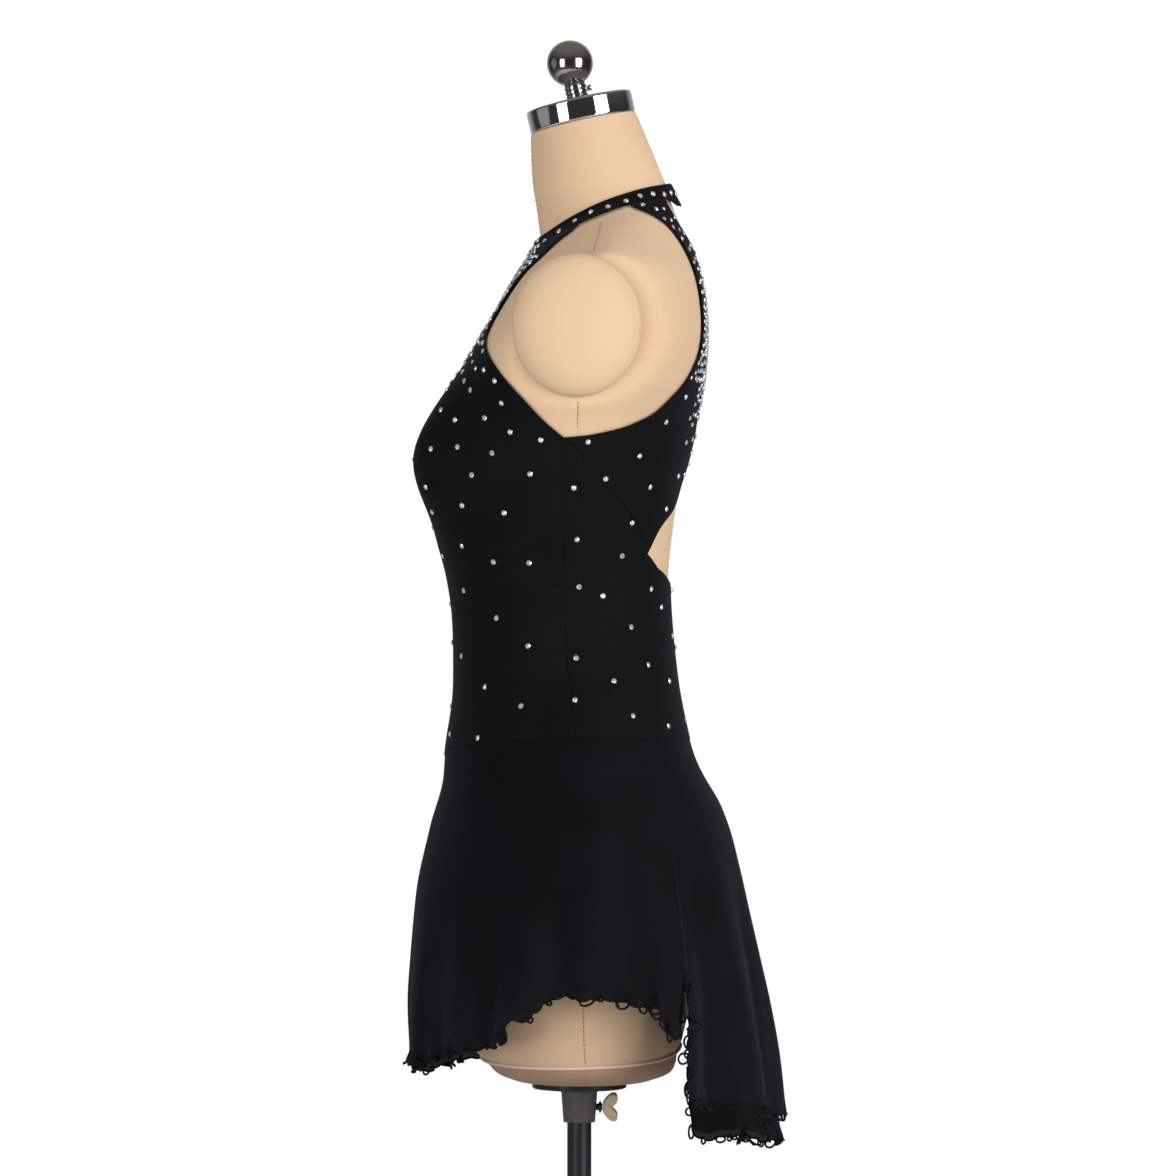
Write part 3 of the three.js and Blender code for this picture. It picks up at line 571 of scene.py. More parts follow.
# Ranges of each wave's size, sideways swing (a share of it), rise and length.
WAVE = {"size": (2.2, 5.2), "swing": (0.3, 0.7), "rise": (-2.4, 1.6), "length": (6, 13)}
WAVE_TURN = math.pi / 1.35
WAVE_OVERRUN = 40        # the rows go on past the hem's end
CREST_RISE = 0.9         # how far the hem itself goes up and down with each wave
# Ranges of each cord loop's tilt and half sweep in radians, its width to its height, and its skew.
LOOP = {"tilt": (-0.8, 0.8), "sweep": (1.7, 2.75), "width": (0.75, 1.3), "skew": (-1.5, 1.5)}
LOOP_SUNK = 0.1          # how deep a loop's feet lie in the hem, as a share of its size
LOOP_END = 14            # no loop stands this near a side seam


def hem_waves(seed, length):
    """Rows of place along the hem, phase, size, swing and rise, uneven but the same each run."""
    draw = random.Random(seed)
    at, phase, rows = 0.0, draw.uniform(0, 6), []
    while at < length + WAVE_OVERRUN:
        rows.append([at, phase, *(draw.uniform(*WAVE[key]) for key in ("size", "swing", "rise"))])
        at += draw.uniform(*WAVE["length"])
        phase += WAVE_TURN
    return rows


def skirt_normals(share, angle, down=0.004, across=0.4):
    side = skirt_base(share, angle + across) - skirt_base(share, angle - across)
    drop = skirt_base(np.minimum(share + down, 1), angle) - skirt_base(np.maximum(share - down, 0), angle)
    out = unit(np.cross(drop, side))
    radial = np.stack([np.cos(angle * RAD), np.sin(angle * RAD), np.zeros_like(angle)], -1)
    return out * np.sign((out * radial).sum(-1, keepdims=True))


def skirt_panel(name, cad_node, first, last, columns, seed, loop_gap, loop_size):
    """One piece of the skirt between two angles, with its rolled edge and cord loops."""
    # Columns are even along the hem's own length, so the steep hem has enough of them.
    fine = np.linspace(first, last, FINE_STEPS)
    run = length_along(skirt_base(np.ones(len(fine)), fine))
    along = np.linspace(0, run[-1], columns)
    angle = np.interp(along, run, fine)
    drop = np.abs(skirt_seam(angle) - smooth(HEM, wrapped(angle)))
    upper = np.linspace(0, 1, SKIRT_ROWS[0] + 1)[:-1, None] ** SKIRT_EASE
    near = np.linspace(HEM_ZONE, 0, SKIRT_ROWS[1])[:, None]
    share = np.concatenate([upper * (1 - HEM_ZONE / drop), 1 - near / drop])
    turned = np.tile(angle, (len(share), 1))
    base = skirt_base(share, turned)
    normal = skirt_normals(share, turned)
    left = (1 - share) * drop
    waves = hem_waves(seed, run[-1])
    phase, size, swing, rise = (smooth(waves, along, c) for c in range(1, 5))
    ends = step(along, 0, SEAM_CALM) * (1 - step(along, run[-1] - SEAM_CALM, run[-1]))
    grown = (1 - step(left, 0, HEM_REACH)) ** 1.25 * ends * straight(FRILL_SHARE, angle)
    side = unit(np.gradient(base, axis=1))
    moved = (
        base
        + normal * (size * np.sin(phase) * grown)[..., None]
        - side * (size * swing * np.sin(2 * phase) * grown)[..., None]
    )
    moved[..., 2] += rise * grown + CREST_RISE * np.cos(2 * phase) * grown
    piece = make_object(name, moved.reshape(-1, 3), quads_of(grid_index(*share.shape), flip=True))
    ride(piece, "form", "mesh", [cad_node])
    piece.data.materials.append(MATERIALS["frill"])
    sheer = (left[:-1, :-1] < FRILL_SHEER).ravel()
    piece.data.polygons.foreach_set("material_index", sheer.astype(np.int32))
    roll = ride(tube(name + "_hem", moved[-1], HEM_ROLL, sides=8), "form", "hem_roll")
    loops = hem_loops(name + "_loops", moved, normal[-1], seed + 1, loop_gap, loop_size)
    return piece, [roll, loops]


def hem_loops(name, grid, normal, seed, gap, sizes):
    """Loose loops of the hem's stiff cord, which springs clear of the cloth here and there."""
    draw = random.Random(seed)
    line = grid[-1]
    run = length_along(line)
    tangent = unit(np.gradient(line, axis=0))
    away = line - grid[-5]
    away = unit(away - tangent * (away * tangent).sum(1, keepdims=True))
    at, rings = float(LOOP_END), []
    while at < run[-1] - LOOP_END:
        k = int(np.searchsorted(run, at))
        size = draw.uniform(*sizes)
        tilt, sweep, width, skew = (draw.uniform(*limits) for limits in LOOP.values())
        out = away[k] * math.cos(tilt) + normal[k] * math.sin(tilt)
        turn = np.linspace(-sweep, sweep, 22)[:, None]
        rings.append(
            line[k] + out * size * (np.cos(turn) - math.cos(sweep) - LOOP_SUNK)
            + tangent[k] * size * width * np.sin(turn)
            + normal[k] * skew * turn / sweep
        )
        at += draw.uniform(*gap)
    return ride(tubes(name, rings, CORD, sides=6), "form", "hem_roll")


# ---- materials ----
def node(tree, kind, inputs, output=0, **settings):
    """Add a node, fill its inputs with sockets or values, and hand back one of its outputs."""
    made = tree.nodes.new("ShaderNode" + kind)
    for name, value in settings.items():
        setattr(made, name, value)
    for name, value in inputs.items():
        if isinstance(value, bpy.types.NodeSocket):
            tree.links.new(value, made.inputs[name])
        else:
            made.inputs[name].default_value = value
    return made.outputs[output]


def coordinates(tree, scale=(1, 1, 1)):
    place = node(tree, "TexCoord", {}, "Object")
    return node(tree, "Mapping", {"Vector": place, "Scale": scale})


def noise(tree, vector, scale, detail=3.0, roughness=0.55):
    inputs = {"Vector": vector, "Scale": scale, "Detail": detail, "Roughness": roughness}
    return node(tree, "TexNoise", inputs, "Fac")


def ramp(tree, factor, low, high, start=0.3, end=0.7):
    colour = node(tree, "ValToRGB", {"Fac": factor}, "Color")
    for stop, at, shade in zip(colour.node.color_ramp.elements, (start, end), (low, high)):
        stop.position = at
        stop.color = (*shade, 1)
    return colour


def spans(tree, factor, low, high):
    return node(tree, "MapRange", {"Value": factor, "To Min": low, "To Max": high}, "Result")


def bump(tree, height, strength, distance):
    return node(tree, "Bump", {"Height": height, "Strength": strength, "Distance": distance}, "Normal")


PAINTED_HEM_LIGHT = (0.58, 0.80)    # heights in metres between which the skirt is paler towards its hem: painted light, as through its single layer
PAINTED_BASE_SHADE_SPAN = (0.70, 0.95)   # and the jersey darker towards its base: painted shade, as the skirt shades the form there
PAINTED_BASE_SHADE = 0.80


def graded(tree, here, colour, foot, low, high):
    """The colour scaled by foot at the lower height, and left as it is from the upper one: painted shade
    when foot is below 1, painted light when above.
    """
    up = node(tree, "SeparateXYZ", {0: here}, "Z")
    fade = {"Value": up, "From Min": low, "From Max": high, "To Min": foot, "To Max": 1.0}
    share = node(tree, "MapRange", fade, "Result")
    return node(tree, "VectorMath", {0: colour, "Scale": share}, operation="SCALE")


def finished(name, colouring, **plain):
    """A material whose linked inputs come from colouring(tree); the rest are plain values."""
    material = bpy.data.materials.new(name)
    material.use_nodes = True
    tree = material.node_tree
    shader = tree.nodes["Principled BSDF"]
    colour, rough, normal = colouring(tree)
    tree.links.new(colour, shader.inputs["Base Color"])
    tree.links.new(rough, shader.inputs["Roughness"])
    tree.links.new(normal, shader.inputs["Normal"])
    for socket, value in plain.items():
        shader.inputs[socket.replace("_", " ")].default_value = value
    return material


def cloth_material(name, low, high, rough, weave, sheen, tint, alpha=1.0, relief=0.25, foot=1.0):
    """Knit or mesh: fine loops, soft shade changes and sheen, its colour times foot at the hem: painted
    light where foot is above 1.
    """
    def colouring(tree):
        here = coordinates(tree)
        loops = noise(tree, coordinates(tree, (1, 1, 0.55)), weave, detail=1.0, roughness=0.4)
        soft = noise(tree, here, scale=14)
        mixed = node(tree, "Math", {0: loops, 1: soft}, operation="MULTIPLY")
        # painted light: paler towards the hem
        colour = graded(tree, here, ramp(tree, mixed, low, high, 0.15, 0.42), foot, *PAINTED_HEM_LIGHT)
        return colour, spans(tree, soft, rough - 0.06, rough + 0.06), bump(tree, loops, relief, 0.0006)
    return finished(name, colouring, Sheen_Weight=sheen, Sheen_Roughness=0.45, Sheen_Tint=(*tint, 1),
                    Specular_IOR_Level=0.1, Alpha=alpha)


def jersey_material(name, low, high):
    """Stretched jersey, a little darker towards the base with painted shade, as under the skirt."""
    def colouring(tree):
        here = coordinates(tree)
        loops = noise(tree, coordinates(tree, (1, 1, 0.5)), scale=1500, detail=1.0, roughness=0.4)
        broad = noise(tree, here, scale=5, detail=2.0)
        # painted shade: the colour darkens towards the base
        colour = graded(tree, here, ramp(tree, broad, low, high), PAINTED_BASE_SHADE, *PAINTED_BASE_SHADE_SPAN)
        return colour, spans(tree, broad, 0.72, 0.86), bump(tree, loops, 0.2, 0.0005)
    return finished(name, colouring, Sheen_Weight=0.05, Specular_IOR_Level=0.2)


def hard_material(name, low, high, rough, metallic, grain, relief):
    def colouring(tree):
        marks = noise(tree, coordinates(tree), grain, detail=4.0, roughness=0.6)
        shine = spans(tree, marks, rough * 0.8, rough * 1.25)
        return ramp(tree, marks, low, high), shine, bump(tree, marks, relief, 0.0004)
    return finished(name, colouring, Metallic=metallic)


COOL = (0.8, 0.85, 1.0)
# foot: the mesh's colour is raised towards the hem, painted light shining through its single layer
MESH_LOOK = {
    "low": (0.0022, 0.0022, 0.0027), "high": (0.0046, 0.0046, 0.0058), "rough": 0.8, "weave": 1500,
    "sheen": 0.045, "tint": (0.75, 0.8, 1.0), "foot": 2.2,
}
MATERIALS = {
    # The cloths: two shades, roughness, fineness of the loops, sheen and its tint.
    "knit": cloth_material("black_knit", (0.0030, 0.0030, 0.0033), (0.0056, 0.0056, 0.0062),
                           0.75, 1300, 0.032, COOL),
    "mesh": cloth_material("black_mesh", **MESH_LOOK, alpha=0.997),
    "frill": cloth_material("stretched_mesh", **MESH_LOOK, alpha=0.985),
    "hem_roll": cloth_material("hem_cord", (0.003, 0.003, 0.0035), (0.007, 0.007, 0.008),
                               0.55, 2400, 0.02, COOL, relief=0.5),
    "jersey": jersey_material("form_jersey", (0.70, 0.485, 0.305), (0.76, 0.54, 0.35)),
    # the band under the piping: its own browner jersey, darkened further with painted shade as it faces down
    "shaded_base_band": jersey_material("form_base_band", (0.43, 0.26, 0.165), (0.49, 0.305, 0.20)),
    # the piping: a paler cord, made paler still with a painted highlight
    "piping": jersey_material("form_piping_with_highlight", (0.80, 0.63, 0.54), (0.87, 0.70, 0.61)),
    "thread": jersey_material("form_thread", (0.36, 0.20, 0.13), (0.44, 0.26, 0.17)),
    # The hard ones: two shades, roughness, how metallic, grain of the marks and their relief.
    "chrome": hard_material("polished_chrome", (0.74, 0.74, 0.75), (0.82, 0.82, 0.83),
                            0.05, 1.0, 60, 0.01),
    "gunmetal": hard_material("dark_plating", (0.44, 0.43, 0.41), (0.52, 0.51, 0.49),
                              0.13, 1.0, 60, 0.01),
    "black_steel": hard_material("black_satin_steel", (0.012, 0.013, 0.015), (0.024, 0.025, 0.028),
                                 0.36, 0.3, 180, 0.12),
    "collar": hard_material("grey_cast_collar", (0.055, 0.050, 0.050), (0.085, 0.078, 0.078),
                            0.5, 0.0, 220, 0.25),
    "cream": hard_material("cream_plastic", (0.42, 0.35, 0.21), (0.52, 0.44, 0.29),
                           0.45, 0.0, 40, 0.05),
    "crystal": hard_material("clear_crystal", (0.80, 0.81, 0.83), (0.93, 0.94, 0.96),
                             0.10, 0.7, 900, 0.0),
    # the crystals' dark rim: painted shade at their edges
    "crystal_shaded_rim": hard_material("crystal_shaded_rim", (0.015, 0.015, 0.018), (0.05, 0.05, 0.055),
                                 0.35, 0.5, 900, 0.0),
}

# ---- the dress ----
KNIT_PIECES = {
    "front_bodice": front_bodice(),
    "upper_back_left": upper_back("bodice_upper_back_left", 1),
    "upper_back_right": upper_back("bodice_upper_back_right", -1),
    "lower_back": lower_back(),
    "neck_band": neck_band(),
}
for cad_node, cloth in KNIT_PIECES.items():
    ride(cloth, "form", "knit", [cad_node])
FRONT_PANEL, FRONT_TRIM = skirt_panel(
    "skirt_front_cloth", "skirt_front", first=180 - SIDE_SEAM, last=360 + SIDE_SEAM, columns=360, seed=11,
    loop_gap=(20, 48), loop_size=(1.3, 2.3))
BACK_PANEL, BACK_TRIM = skirt_panel(
    "skirt_back_cloth", "skirt_back", first=SIDE_SEAM, last=180 - SIDE_SEAM, columns=600, seed=23,
    loop_gap=(9, 20), loop_size=(2.4, 5.4))

# ---- crystals ----
# Places of the crystals on the side towards the camera, in pixels of the frame.
NEAR_CRYSTALS = [
    (483, 343), (472, 355), (463, 372), (484, 370), (447, 390), (470.5, 390), (441, 410), (455, 420),
    (501.5, 403), (484.6, 418), (510, 432), (540.5, 440), (431, 449), (457.5, 447), (492, 453),
    (588, 442), (666, 422), (639.6, 456), (471.6, 475), (530, 474), (605.6, 479), (574, 488),
    (650, 487), (678, 476), (426, 487), (462, 505.5), (504, 513), (432.5, 512), (666, 509),
    (632, 523), (577, 539.5), (462, 546), (622, 556), (443, 556), (493.5, 562), (529, 563),
    (579, 587), (603, 596), (651, 589), (661, 607), (464, 590.5), (450, 607), (496.5, 618),
    (631, 627), (672, 636), (528, 646), (576, 658), (462, 656), (648, 665), (614, 681),
    (669, 681), (485, 687), (451, 698), (521, 706), (575, 700), (633, 716), (668, 726),
    (685, 721), (450.5, 734), (478, 738), (685.5, 397),
]
BAND_CRYSTALS = [
    (664, 194.5), (653, 194), (640, 196), (626, 201), (608, 207), (591, 212), (575, 221),
    (559, 231.5), (545, 241),
]
CRYSTAL_RADIUS = 2.55
SMALL_RADII = (1.85, 2.4)   # those of the dense fields
DENSE = 16                  # spacing under which a field counts as dense
CRYSTAL_GAP = 0.4           # least gap between two crystals
EDGE_PLAIN = 4.2            # cloth left plain along the edges
NEAR_EDGE_PLAIN = 1.5       # and at the listed crystals
NEAR_APART, FAR_APART = 6, 14   # least spacing of the listed crystals, and of their far twins
BAND_STEP = 14.5            # between the neck band's crystals
FAR_ALONG, FAR_UP = (-5, 5), (-6, 6)    # how much the far side differs
FACE_SEARCH = 0.006         # how far outside the cloth the search for its face starts, in metres
MOST_CRYSTALS = 4000


def tree_of(piece):
    mesh = piece.data
    corners = [vertex.co.copy() for vertex in mesh.vertices]
    return BVHTree.FromPolygons(corners, [tuple(face.vertices) for face in mesh.polygons])


def rim_tree(piece):
    points = RIMS[piece.name]
    tree = KDTree(len(points))
    for k, point in enumerate(points):
        tree.insert(point, k)
    tree.balance()
    return tree


TREES = {name: tree_of(piece) for name, piece in KNIT_PIECES.items()}
EDGES = {name: rim_tree(piece) for name, piece in KNIT_PIECES.items()}
SET_CRYSTALS = []    # (cloth, place, normal, radius)
PLACES, RADII = np.zeros((MOST_CRYSTALS, 3)), np.zeros(MOST_CRYSTALS)
DRAW = random.Random(41)


def ray_through(pixel):
    """The camera's ray through a pixel of the frame."""
    centre, half = IMAGE_SIDE / 2, SENSOR / 2 / LENS
    across, down = ((place - centre) / centre * half for place in pixel)
    return Vector((-1, across, -down)).normalized()


def cast(pixel):
    """The knit piece, place and normal under a pixel of the frame."""
    hits = []
    for name, knit in TREES.items():
        place, normal, _, distance = knit.ray_cast(Vector(CAMERA_PLACE), ray_through(pixel))
        if place is not None:
            hits.append((distance, name, place, normal))
    return min(hits)[1:] if hits else None


def on_cloth(name, heights, angles, lift=0.0):
    """The cloth's outer face beside places on the form, found from outside."""
    points, normals = knit_place(heights, angles, np.full(len(heights), MIDDLE) + lift)
    for point, normal in zip(points, normals):
        outward = Vector(normal)
        start = Vector(point) * MM + outward * FACE_SEARCH
        place, face_normal, _, _ = TREES[name].ray_cast(start, -outward, FACE_SEARCH * 2)
        yield (name, place, face_normal) if place is not None else None


def set_crystal(found, radius, apart, edge=EDGE_PLAIN):
    """Keep a crystal if it clears the cloth's edge and its neighbours."""
    if found is None:
        return False
    name, place, normal = found
    if edge and EDGES[name].find(place)[2] < edge * MM:
        return False
    count = len(SET_CRYSTALS)
    gaps = np.linalg.norm(PLACES[:count] - np.array(place), axis=1)
    if (gaps < np.maximum(apart, RADII[:count] + radius + CRYSTAL_GAP) * MM).any():
        return False
    PLACES[count], RADII[count] = place, radius
    SET_CRYSTALS.append((name, place, normal, radius))
    return True


def far_side(found):
    """The like place on the wearer's right, a little off so the sides aren't twins."""
    name, place, _ = found
    other = "upper_back_right" if name == "upper_back_left" else name
    shift = Vector((0, DRAW.uniform(*FAR_ALONG) * MM, DRAW.uniform(*FAR_UP) * MM))
    near, normal, _, _ = TREES[other].find_nearest(Vector((-place.x, place.y, place.z)) + shift)
    return other, near, normal


def placed_crystals():
    for pixel in NEAR_CRYSTALS:
        found = cast(pixel)
        if set_crystal(found, CRYSTAL_RADIUS, NEAR_APART, NEAR_EDGE_PLAIN):
            set_crystal(far_side(found), CRYSTAL_RADIUS, FAR_APART)
    for pixel in BAND_CRYSTALS:
        set_crystal(cast(pixel), CRYSTAL_RADIUS, NEAR_APART, 0)


def band_row():
    """The single row goes on round the neck where the camera can't see it."""
    angle = np.linspace(BAND_START + 6, BAND_END - 4, 900)
    lift, droop = band_lift(angle, 0.5)
    height = (band_top(angle) + band_bottom(angle)) / 2 - droop
    for found in on_cloth("neck_band", height, angle, lift):
        set_crystal(found, CRYSTAL_RADIUS, BAND_STEP, 0)


# Least spacing between crystals at each height.
FRONT_SPACING = [
    [900, 40], [1190, 36], [1212, 27], [1232, 19], [1252, 13], [1275, 8.8], [1300, 6.8],
    [1330, 6.0], [1380, 5.6],
]
BACK_SPACING = [
    [1080, 34], [1160, 24], [1200, 15], [1214, 9], [1230, 6.3], [1255, 5.7], [1300, 5.5],
    [1318, 7], [1336, 9.5], [1382, 10.5],
]
SPREAD_OF_SPACING = (0.92, 1.15)
# The scattered fields: cloth, tries, heights, angles and spacing.
FIELDS = [
    ("front_bodice", 7000, (1236, 1351), (-165, -15), FRONT_SPACING),
    ("front_bodice", 900, (1351, 1368), (-124, -56), FRONT_SPACING),
    ("front_bodice", 500, (935, 1236), (-140, -40), FRONT_SPACING),
    ("upper_back_left", 3600, (1240, 1381), (20, 90), BACK_SPACING),
    ("upper_back_left", 1800, (1160, 1242), (52, 90), BACK_SPACING),
    ("upper_back_right", 3600, (1240, 1381), (90, 160), BACK_SPACING),
    ("upper_back_right", 1800, (1160, 1242), (90, 128), BACK_SPACING),
    ("lower_back", 260, (940, 1080), (35, 145), BACK_SPACING),
]


def scatter(name, tries, heights, angles, spacing):
    height = np.array([DRAW.uniform(*heights) for _ in range(tries)])
    angle = np.array([DRAW.uniform(*angles) for _ in range(tries)])
    for found, apart in zip(on_cloth(name, height, angle), smooth(spacing, height)):
        radius = DRAW.uniform(*SMALL_RADII) if apart < DENSE else CRYSTAL_RADIUS
        set_crystal(found, radius, apart * DRAW.uniform(*SPREAD_OF_SPACING))


GEM_SIDES = 8
GEM_TIP = 0.05       # spread of how far a crystal tips on its glue, in radians
# Each ring of a cut crystal: radius and height as shares of its radius, and its turn.
GEM_RINGS = [[0.96, -0.10, 0.0], [1.0, 0.14, 0.0], [0.80, 0.40, 0.5], [0.50, 0.60, 0.0]]


def gem_pattern():
    """Faces over the ring points of one crystal, each with 1 where it is its dark rim, which is painted
    shade at the crystal's edge.
    """
    rings = [[r * GEM_SIDES + k % GEM_SIDES for k in range(GEM_SIDES + 1)] for r in range(len(GEM_RINGS))]
    pattern = [(rings[0][-2::-1], 1)]
    for k in range(GEM_SIDES):
        base, girdle, crown, table = (ring[k:k + 2] for ring in rings)
        pattern += [
            ([*base, *girdle[::-1]], 1), ([*girdle, crown[0]], 0), ([girdle[1], *crown[::-1]], 0),
            ([*crown, table[1]], 0), ([crown[0], *table[::-1]], 0),
        ]
    return pattern + [(rings[3][:-1], 0)]


def gem_field(name, stones):
    """All the crystals on one cloth as one mesh, each turned and tipped its own way."""
    points, faces, shaded_rims = [], [], []
    pattern = gem_pattern()
    for _, place, normal, radius in stones:
        axis = (normal + Vector([DRAW.gauss(0, GEM_TIP) for _ in range(3)])).normalized()
        side = axis.orthogonal().normalized()
        other = axis.cross(side)
        spin = DRAW.uniform(0, TURN)
        faces += [[v + len(points) for v in face] for face, _ in pattern]
        shaded_rims += [rim for _, rim in pattern]
        for share, up, turn in GEM_RINGS:
            for k in range(GEM_SIDES):
                a = spin + (k + turn) * TURN / GEM_SIDES
                reach = (side * math.cos(a) + other * math.sin(a)) * (radius * share)
                points.append([c / MM + o for c, o in zip(place, reach + axis * up * radius)])
    piece = make_object(name, points, faces, soft=False)
    ride(piece, "form", "crystal")
    piece.data.materials.append(MATERIALS["crystal_shaded_rim"])
    piece.data.polygons.foreach_set("material_index", shaded_rims)
    return piece


placed_crystals()
band_row()
for field in FIELDS:
    scatter(*field)
GEMS = {
    cad_node: gem_field("crystals_" + cad_node, [s for s in SET_CRYSTALS if s[0] == cad_node])
    for cad_node in KNIT_PIECES
}
print("crystals", len(SET_CRYSTALS))

# ---- the form ----
GROOVE_HALF = 0.7     # half width of a sewn seam in the jersey, in millimetres
GROOVE_DEPTH = 0.45
GROOVE_END = 3        # over which a seam dies away
GROOVE_SCALE = 2.3    # millimetres of jersey in one degree
# Each upright seam as rows of height and angle, then its lowest and highest point.
NEAR_SIDE = [[638, 1.4], [1100, 1.4], [1196, 3.1], [1219, 1.3]]
FAR_SIDE = [[height, 180 - angle] for height, angle in NEAR_SIDE]
FRONT_CENTRE, BACK_CENTRE = [[638, -90], [1467, -90]], [[638, 90], [1467, 90]]
UPRIGHT_SEAMS = [
    (NEAR_SIDE, 638, 1222), (FAR_SIDE, 638, 1222), (FRONT_CENTRE, 638, 1466), (BACK_CENTRE, 638, 1466),
]
PIPING = [[-90, 655.5], [0, 656.5], [90, 666]]   # the cord round the lower edge: angle and height
PIPING_RADIUS, PIPING_SUNK = 1.4, 0.6


def seam_relief(height, angle):
    total = np.zeros(np.shape(angle))
    for line, low, high in UPRIGHT_SEAMS:
        off = wrapped(angle - straight(line, height)) * GROOVE_SCALE
        inside = step(height, low - GROOVE_END, low) * (1 - step(height, high, high + GROOVE_END))
        total -= GROOVE_DEPTH * inside * np.exp(-(off / GROOVE_HALF) ** 2)
    return total


def form_jersey():
    """The torso's skin, with more points where its seams, its lower edge and its shoulders are."""
    angles = np.unique(np.round(np.concatenate([
        np.linspace(-180, 180, 181)[:-1],
        *[at + np.array([-0.6, -0.3, 0, 0.3, 0.6]) for at in (-90, 90)],
        np.arange(0.7, 3.9, 0.25), np.arange(176.2, 179.4, 0.25),
    ]), 3))
    heights = np.unique(np.concatenate([
        np.linspace(TORSO_BOTTOM, 670, 40), np.linspace(TORSO_BOTTOM, TORSO_TOP, 250),
        np.linspace(1340, 1400, 60),
    ]))
    h, a = np.meshgrid(heights, angles, indexing="ij")
    points = form_point(h, a) + normals_of(form_point, h, a) * seam_relief(h, a)[..., None]
    index = grid_index(*h.shape, around=True)
    low, high = h.size, h.size + 1
    flat = np.concatenate([points.reshape(-1, 3), [points[0].mean(0)], [points[-1].mean(0)]])
    edges = range(len(angles))
    faces = quads_of(index)
    faces += [(low, int(index[0, k + 1]), int(index[0, k])) for k in edges]
    faces += [(high, int(index[-1, k]), int(index[-1, k + 1])) for k in edges]
    piece = make_object("torso_jersey", flat, faces)
    sharpen(piece, 40)
    ride(piece, "form", "jersey", ["torso"])
    piece.data.materials.append(MATERIALS["shaded_base_band"])
    # faces under the piping take the band's colour, which carries painted shade
    for polygon in piece.data.polygons:
        centre = polygon.center / MM
        around = math.degrees(math.atan2(centre.y, centre.x))
        if centre.z < float(smooth(PIPING, mirrored(around))):
            polygon.material_index = 1


def sharpen(piece, degrees):
    """Smooth shading with crisp edges where faces meet at more than this angle."""
    piece.data.set_sharp_from_angle(angle=degrees * RAD)


def piping():
    angle = np.linspace(-180, 180, 241)[:-1]
    height = smooth(PIPING, mirrored(angle))
    line = form_point(height, angle) + normals_of(form_point, height, angle) * PIPING_SUNK
    cord = tube("torso_piping", line, PIPING_RADIUS, sides=10, closed=True)
    ride(cord, "form", "piping")


def ring_stack(name, rings, sharp, bored=False):
    """A solid from rings of points, capped at both ends or closed on itself round a bore."""
    rings = np.asarray(rings, float)
    count, sides = rings.shape[:2]
    faces = quads_of(grid_index(count, sides, around=True, closed=bored))
    if not bored:
        faces += [tuple(range(sides))[::-1], tuple(range((count - 1) * sides, count * sides))]
    piece = make_object(name, rings.reshape(-1, 3), faces)
    sharpen(piece, sharp)
    return piece


def lathe(name, profile, sides=72, sharp=32, place=None, bored=False):
    """Rows of radius and height turned about +Z, then put in place."""
    turn = np.arange(sides) * TURN / sides
    rings = [[[max(r, 0.01) * math.cos(a), max(r, 0.01) * math.sin(a), z] for a in turn] for r, z in profile]
    rings = np.array(rings)
    return ring_stack(name, place(rings) if place else rings, sharp, bored)


PLATE = {"along": -2, "up": 1283, "half_along": 54, "half_up": 60.5}
# The shoulder plate's domed edge: how far out of the arm's plane, and share of its full size.
PLATE_DOME = [
    [0.3, 0.965], [1.2, 0.99], [2.5, 1.0], [5, 0.992], [8, 0.975], [11, 0.945], [14, 0.9],
    [16.9, 0.84], [19.5, 0.77], [21.8, 0.68], [23.7, 0.57], [25.2, 0.45], [26.3, 0.34],
    [26.9, 0.24], [27.2, 0.14], [27.3, 0.05],
]


def shoulder_cap(name, side, replaces):
    turn = np.arange(96) * TURN / 96 * side
    rings = [
        np.stack([
            np.full(len(turn), side * (ARM_PLANE + out)),
            PLATE["along"] + PLATE["half_along"] * share * np.cos(turn),
            PLATE["up"] + PLATE["half_up"] * share * np.sin(turn),
        ], -1) for out, share in PLATE_DOME
    ]
    ride(ring_stack(name, rings, sharp=60), "form", "jersey", [replaces])


# ---- the neck cap, the ball and the stand, each from the CAD's own profile ----
NECK_MID, NECK_LEAN = 3.5, 12.5
SCREW_HEIGHT = 611          # the thumb screw's axis above the floor
FINIAL_SCREW_HEIGHT = 29.3  # the small screw's above the neck's cut


def on_neck(points):
    """From the cap's own frame to the neck's leaning cut."""
    c, s = math.cos(NECK_LEAN * RAD), math.sin(NECK_LEAN * RAD)
    x, y, z = points[..., 0], points[..., 1], points[..., 2]
    return np.stack([x, y * c - z * s + NECK_MID, y * s + z * c + TORSO_TOP], -1)


def sideways(points, height):
    """Lay what was made about +Z along +Y, at a height."""
    return np.stack([points[..., 0], points[..., 2], height - points[..., 1]], -1)


def rounded(corners, radius, steps=3):
    """A profile with its inner corners rounded off by short arcs."""
    rows = [corners[0]]
    for before, corner, after in zip(corners, corners[1:], corners[2:]):
        corner, before, after = (np.array(p, float) for p in (corner, before, after))
        into, out = before - corner, after - corner
        cut = min(radius, 0.45 * np.linalg.norm(into), 0.45 * np.linalg.norm(out))
        start, end = corner + unit(into) * cut, corner + unit(out) * cut
        for t in np.linspace(0, 1, steps + 1):
            rows.append(((1 - t) ** 2 * start + 2 * t * (1 - t) * corner + t * t * end).tolist())
    return rows + [corners[-1]]


def neck_cap():
    corners = [[0, 0.3], [45.5, 0.3], [46.4, 2], [46.4, 18], [45.5, 19.6], [43.5, 20], [0, 20]]
    cap = lathe("neck_cap_chrome", rounded(corners, 0.7), sides=120, sharp=40, place=on_neck)
    ride(cap, "form", "chrome", ["neck_cap"])


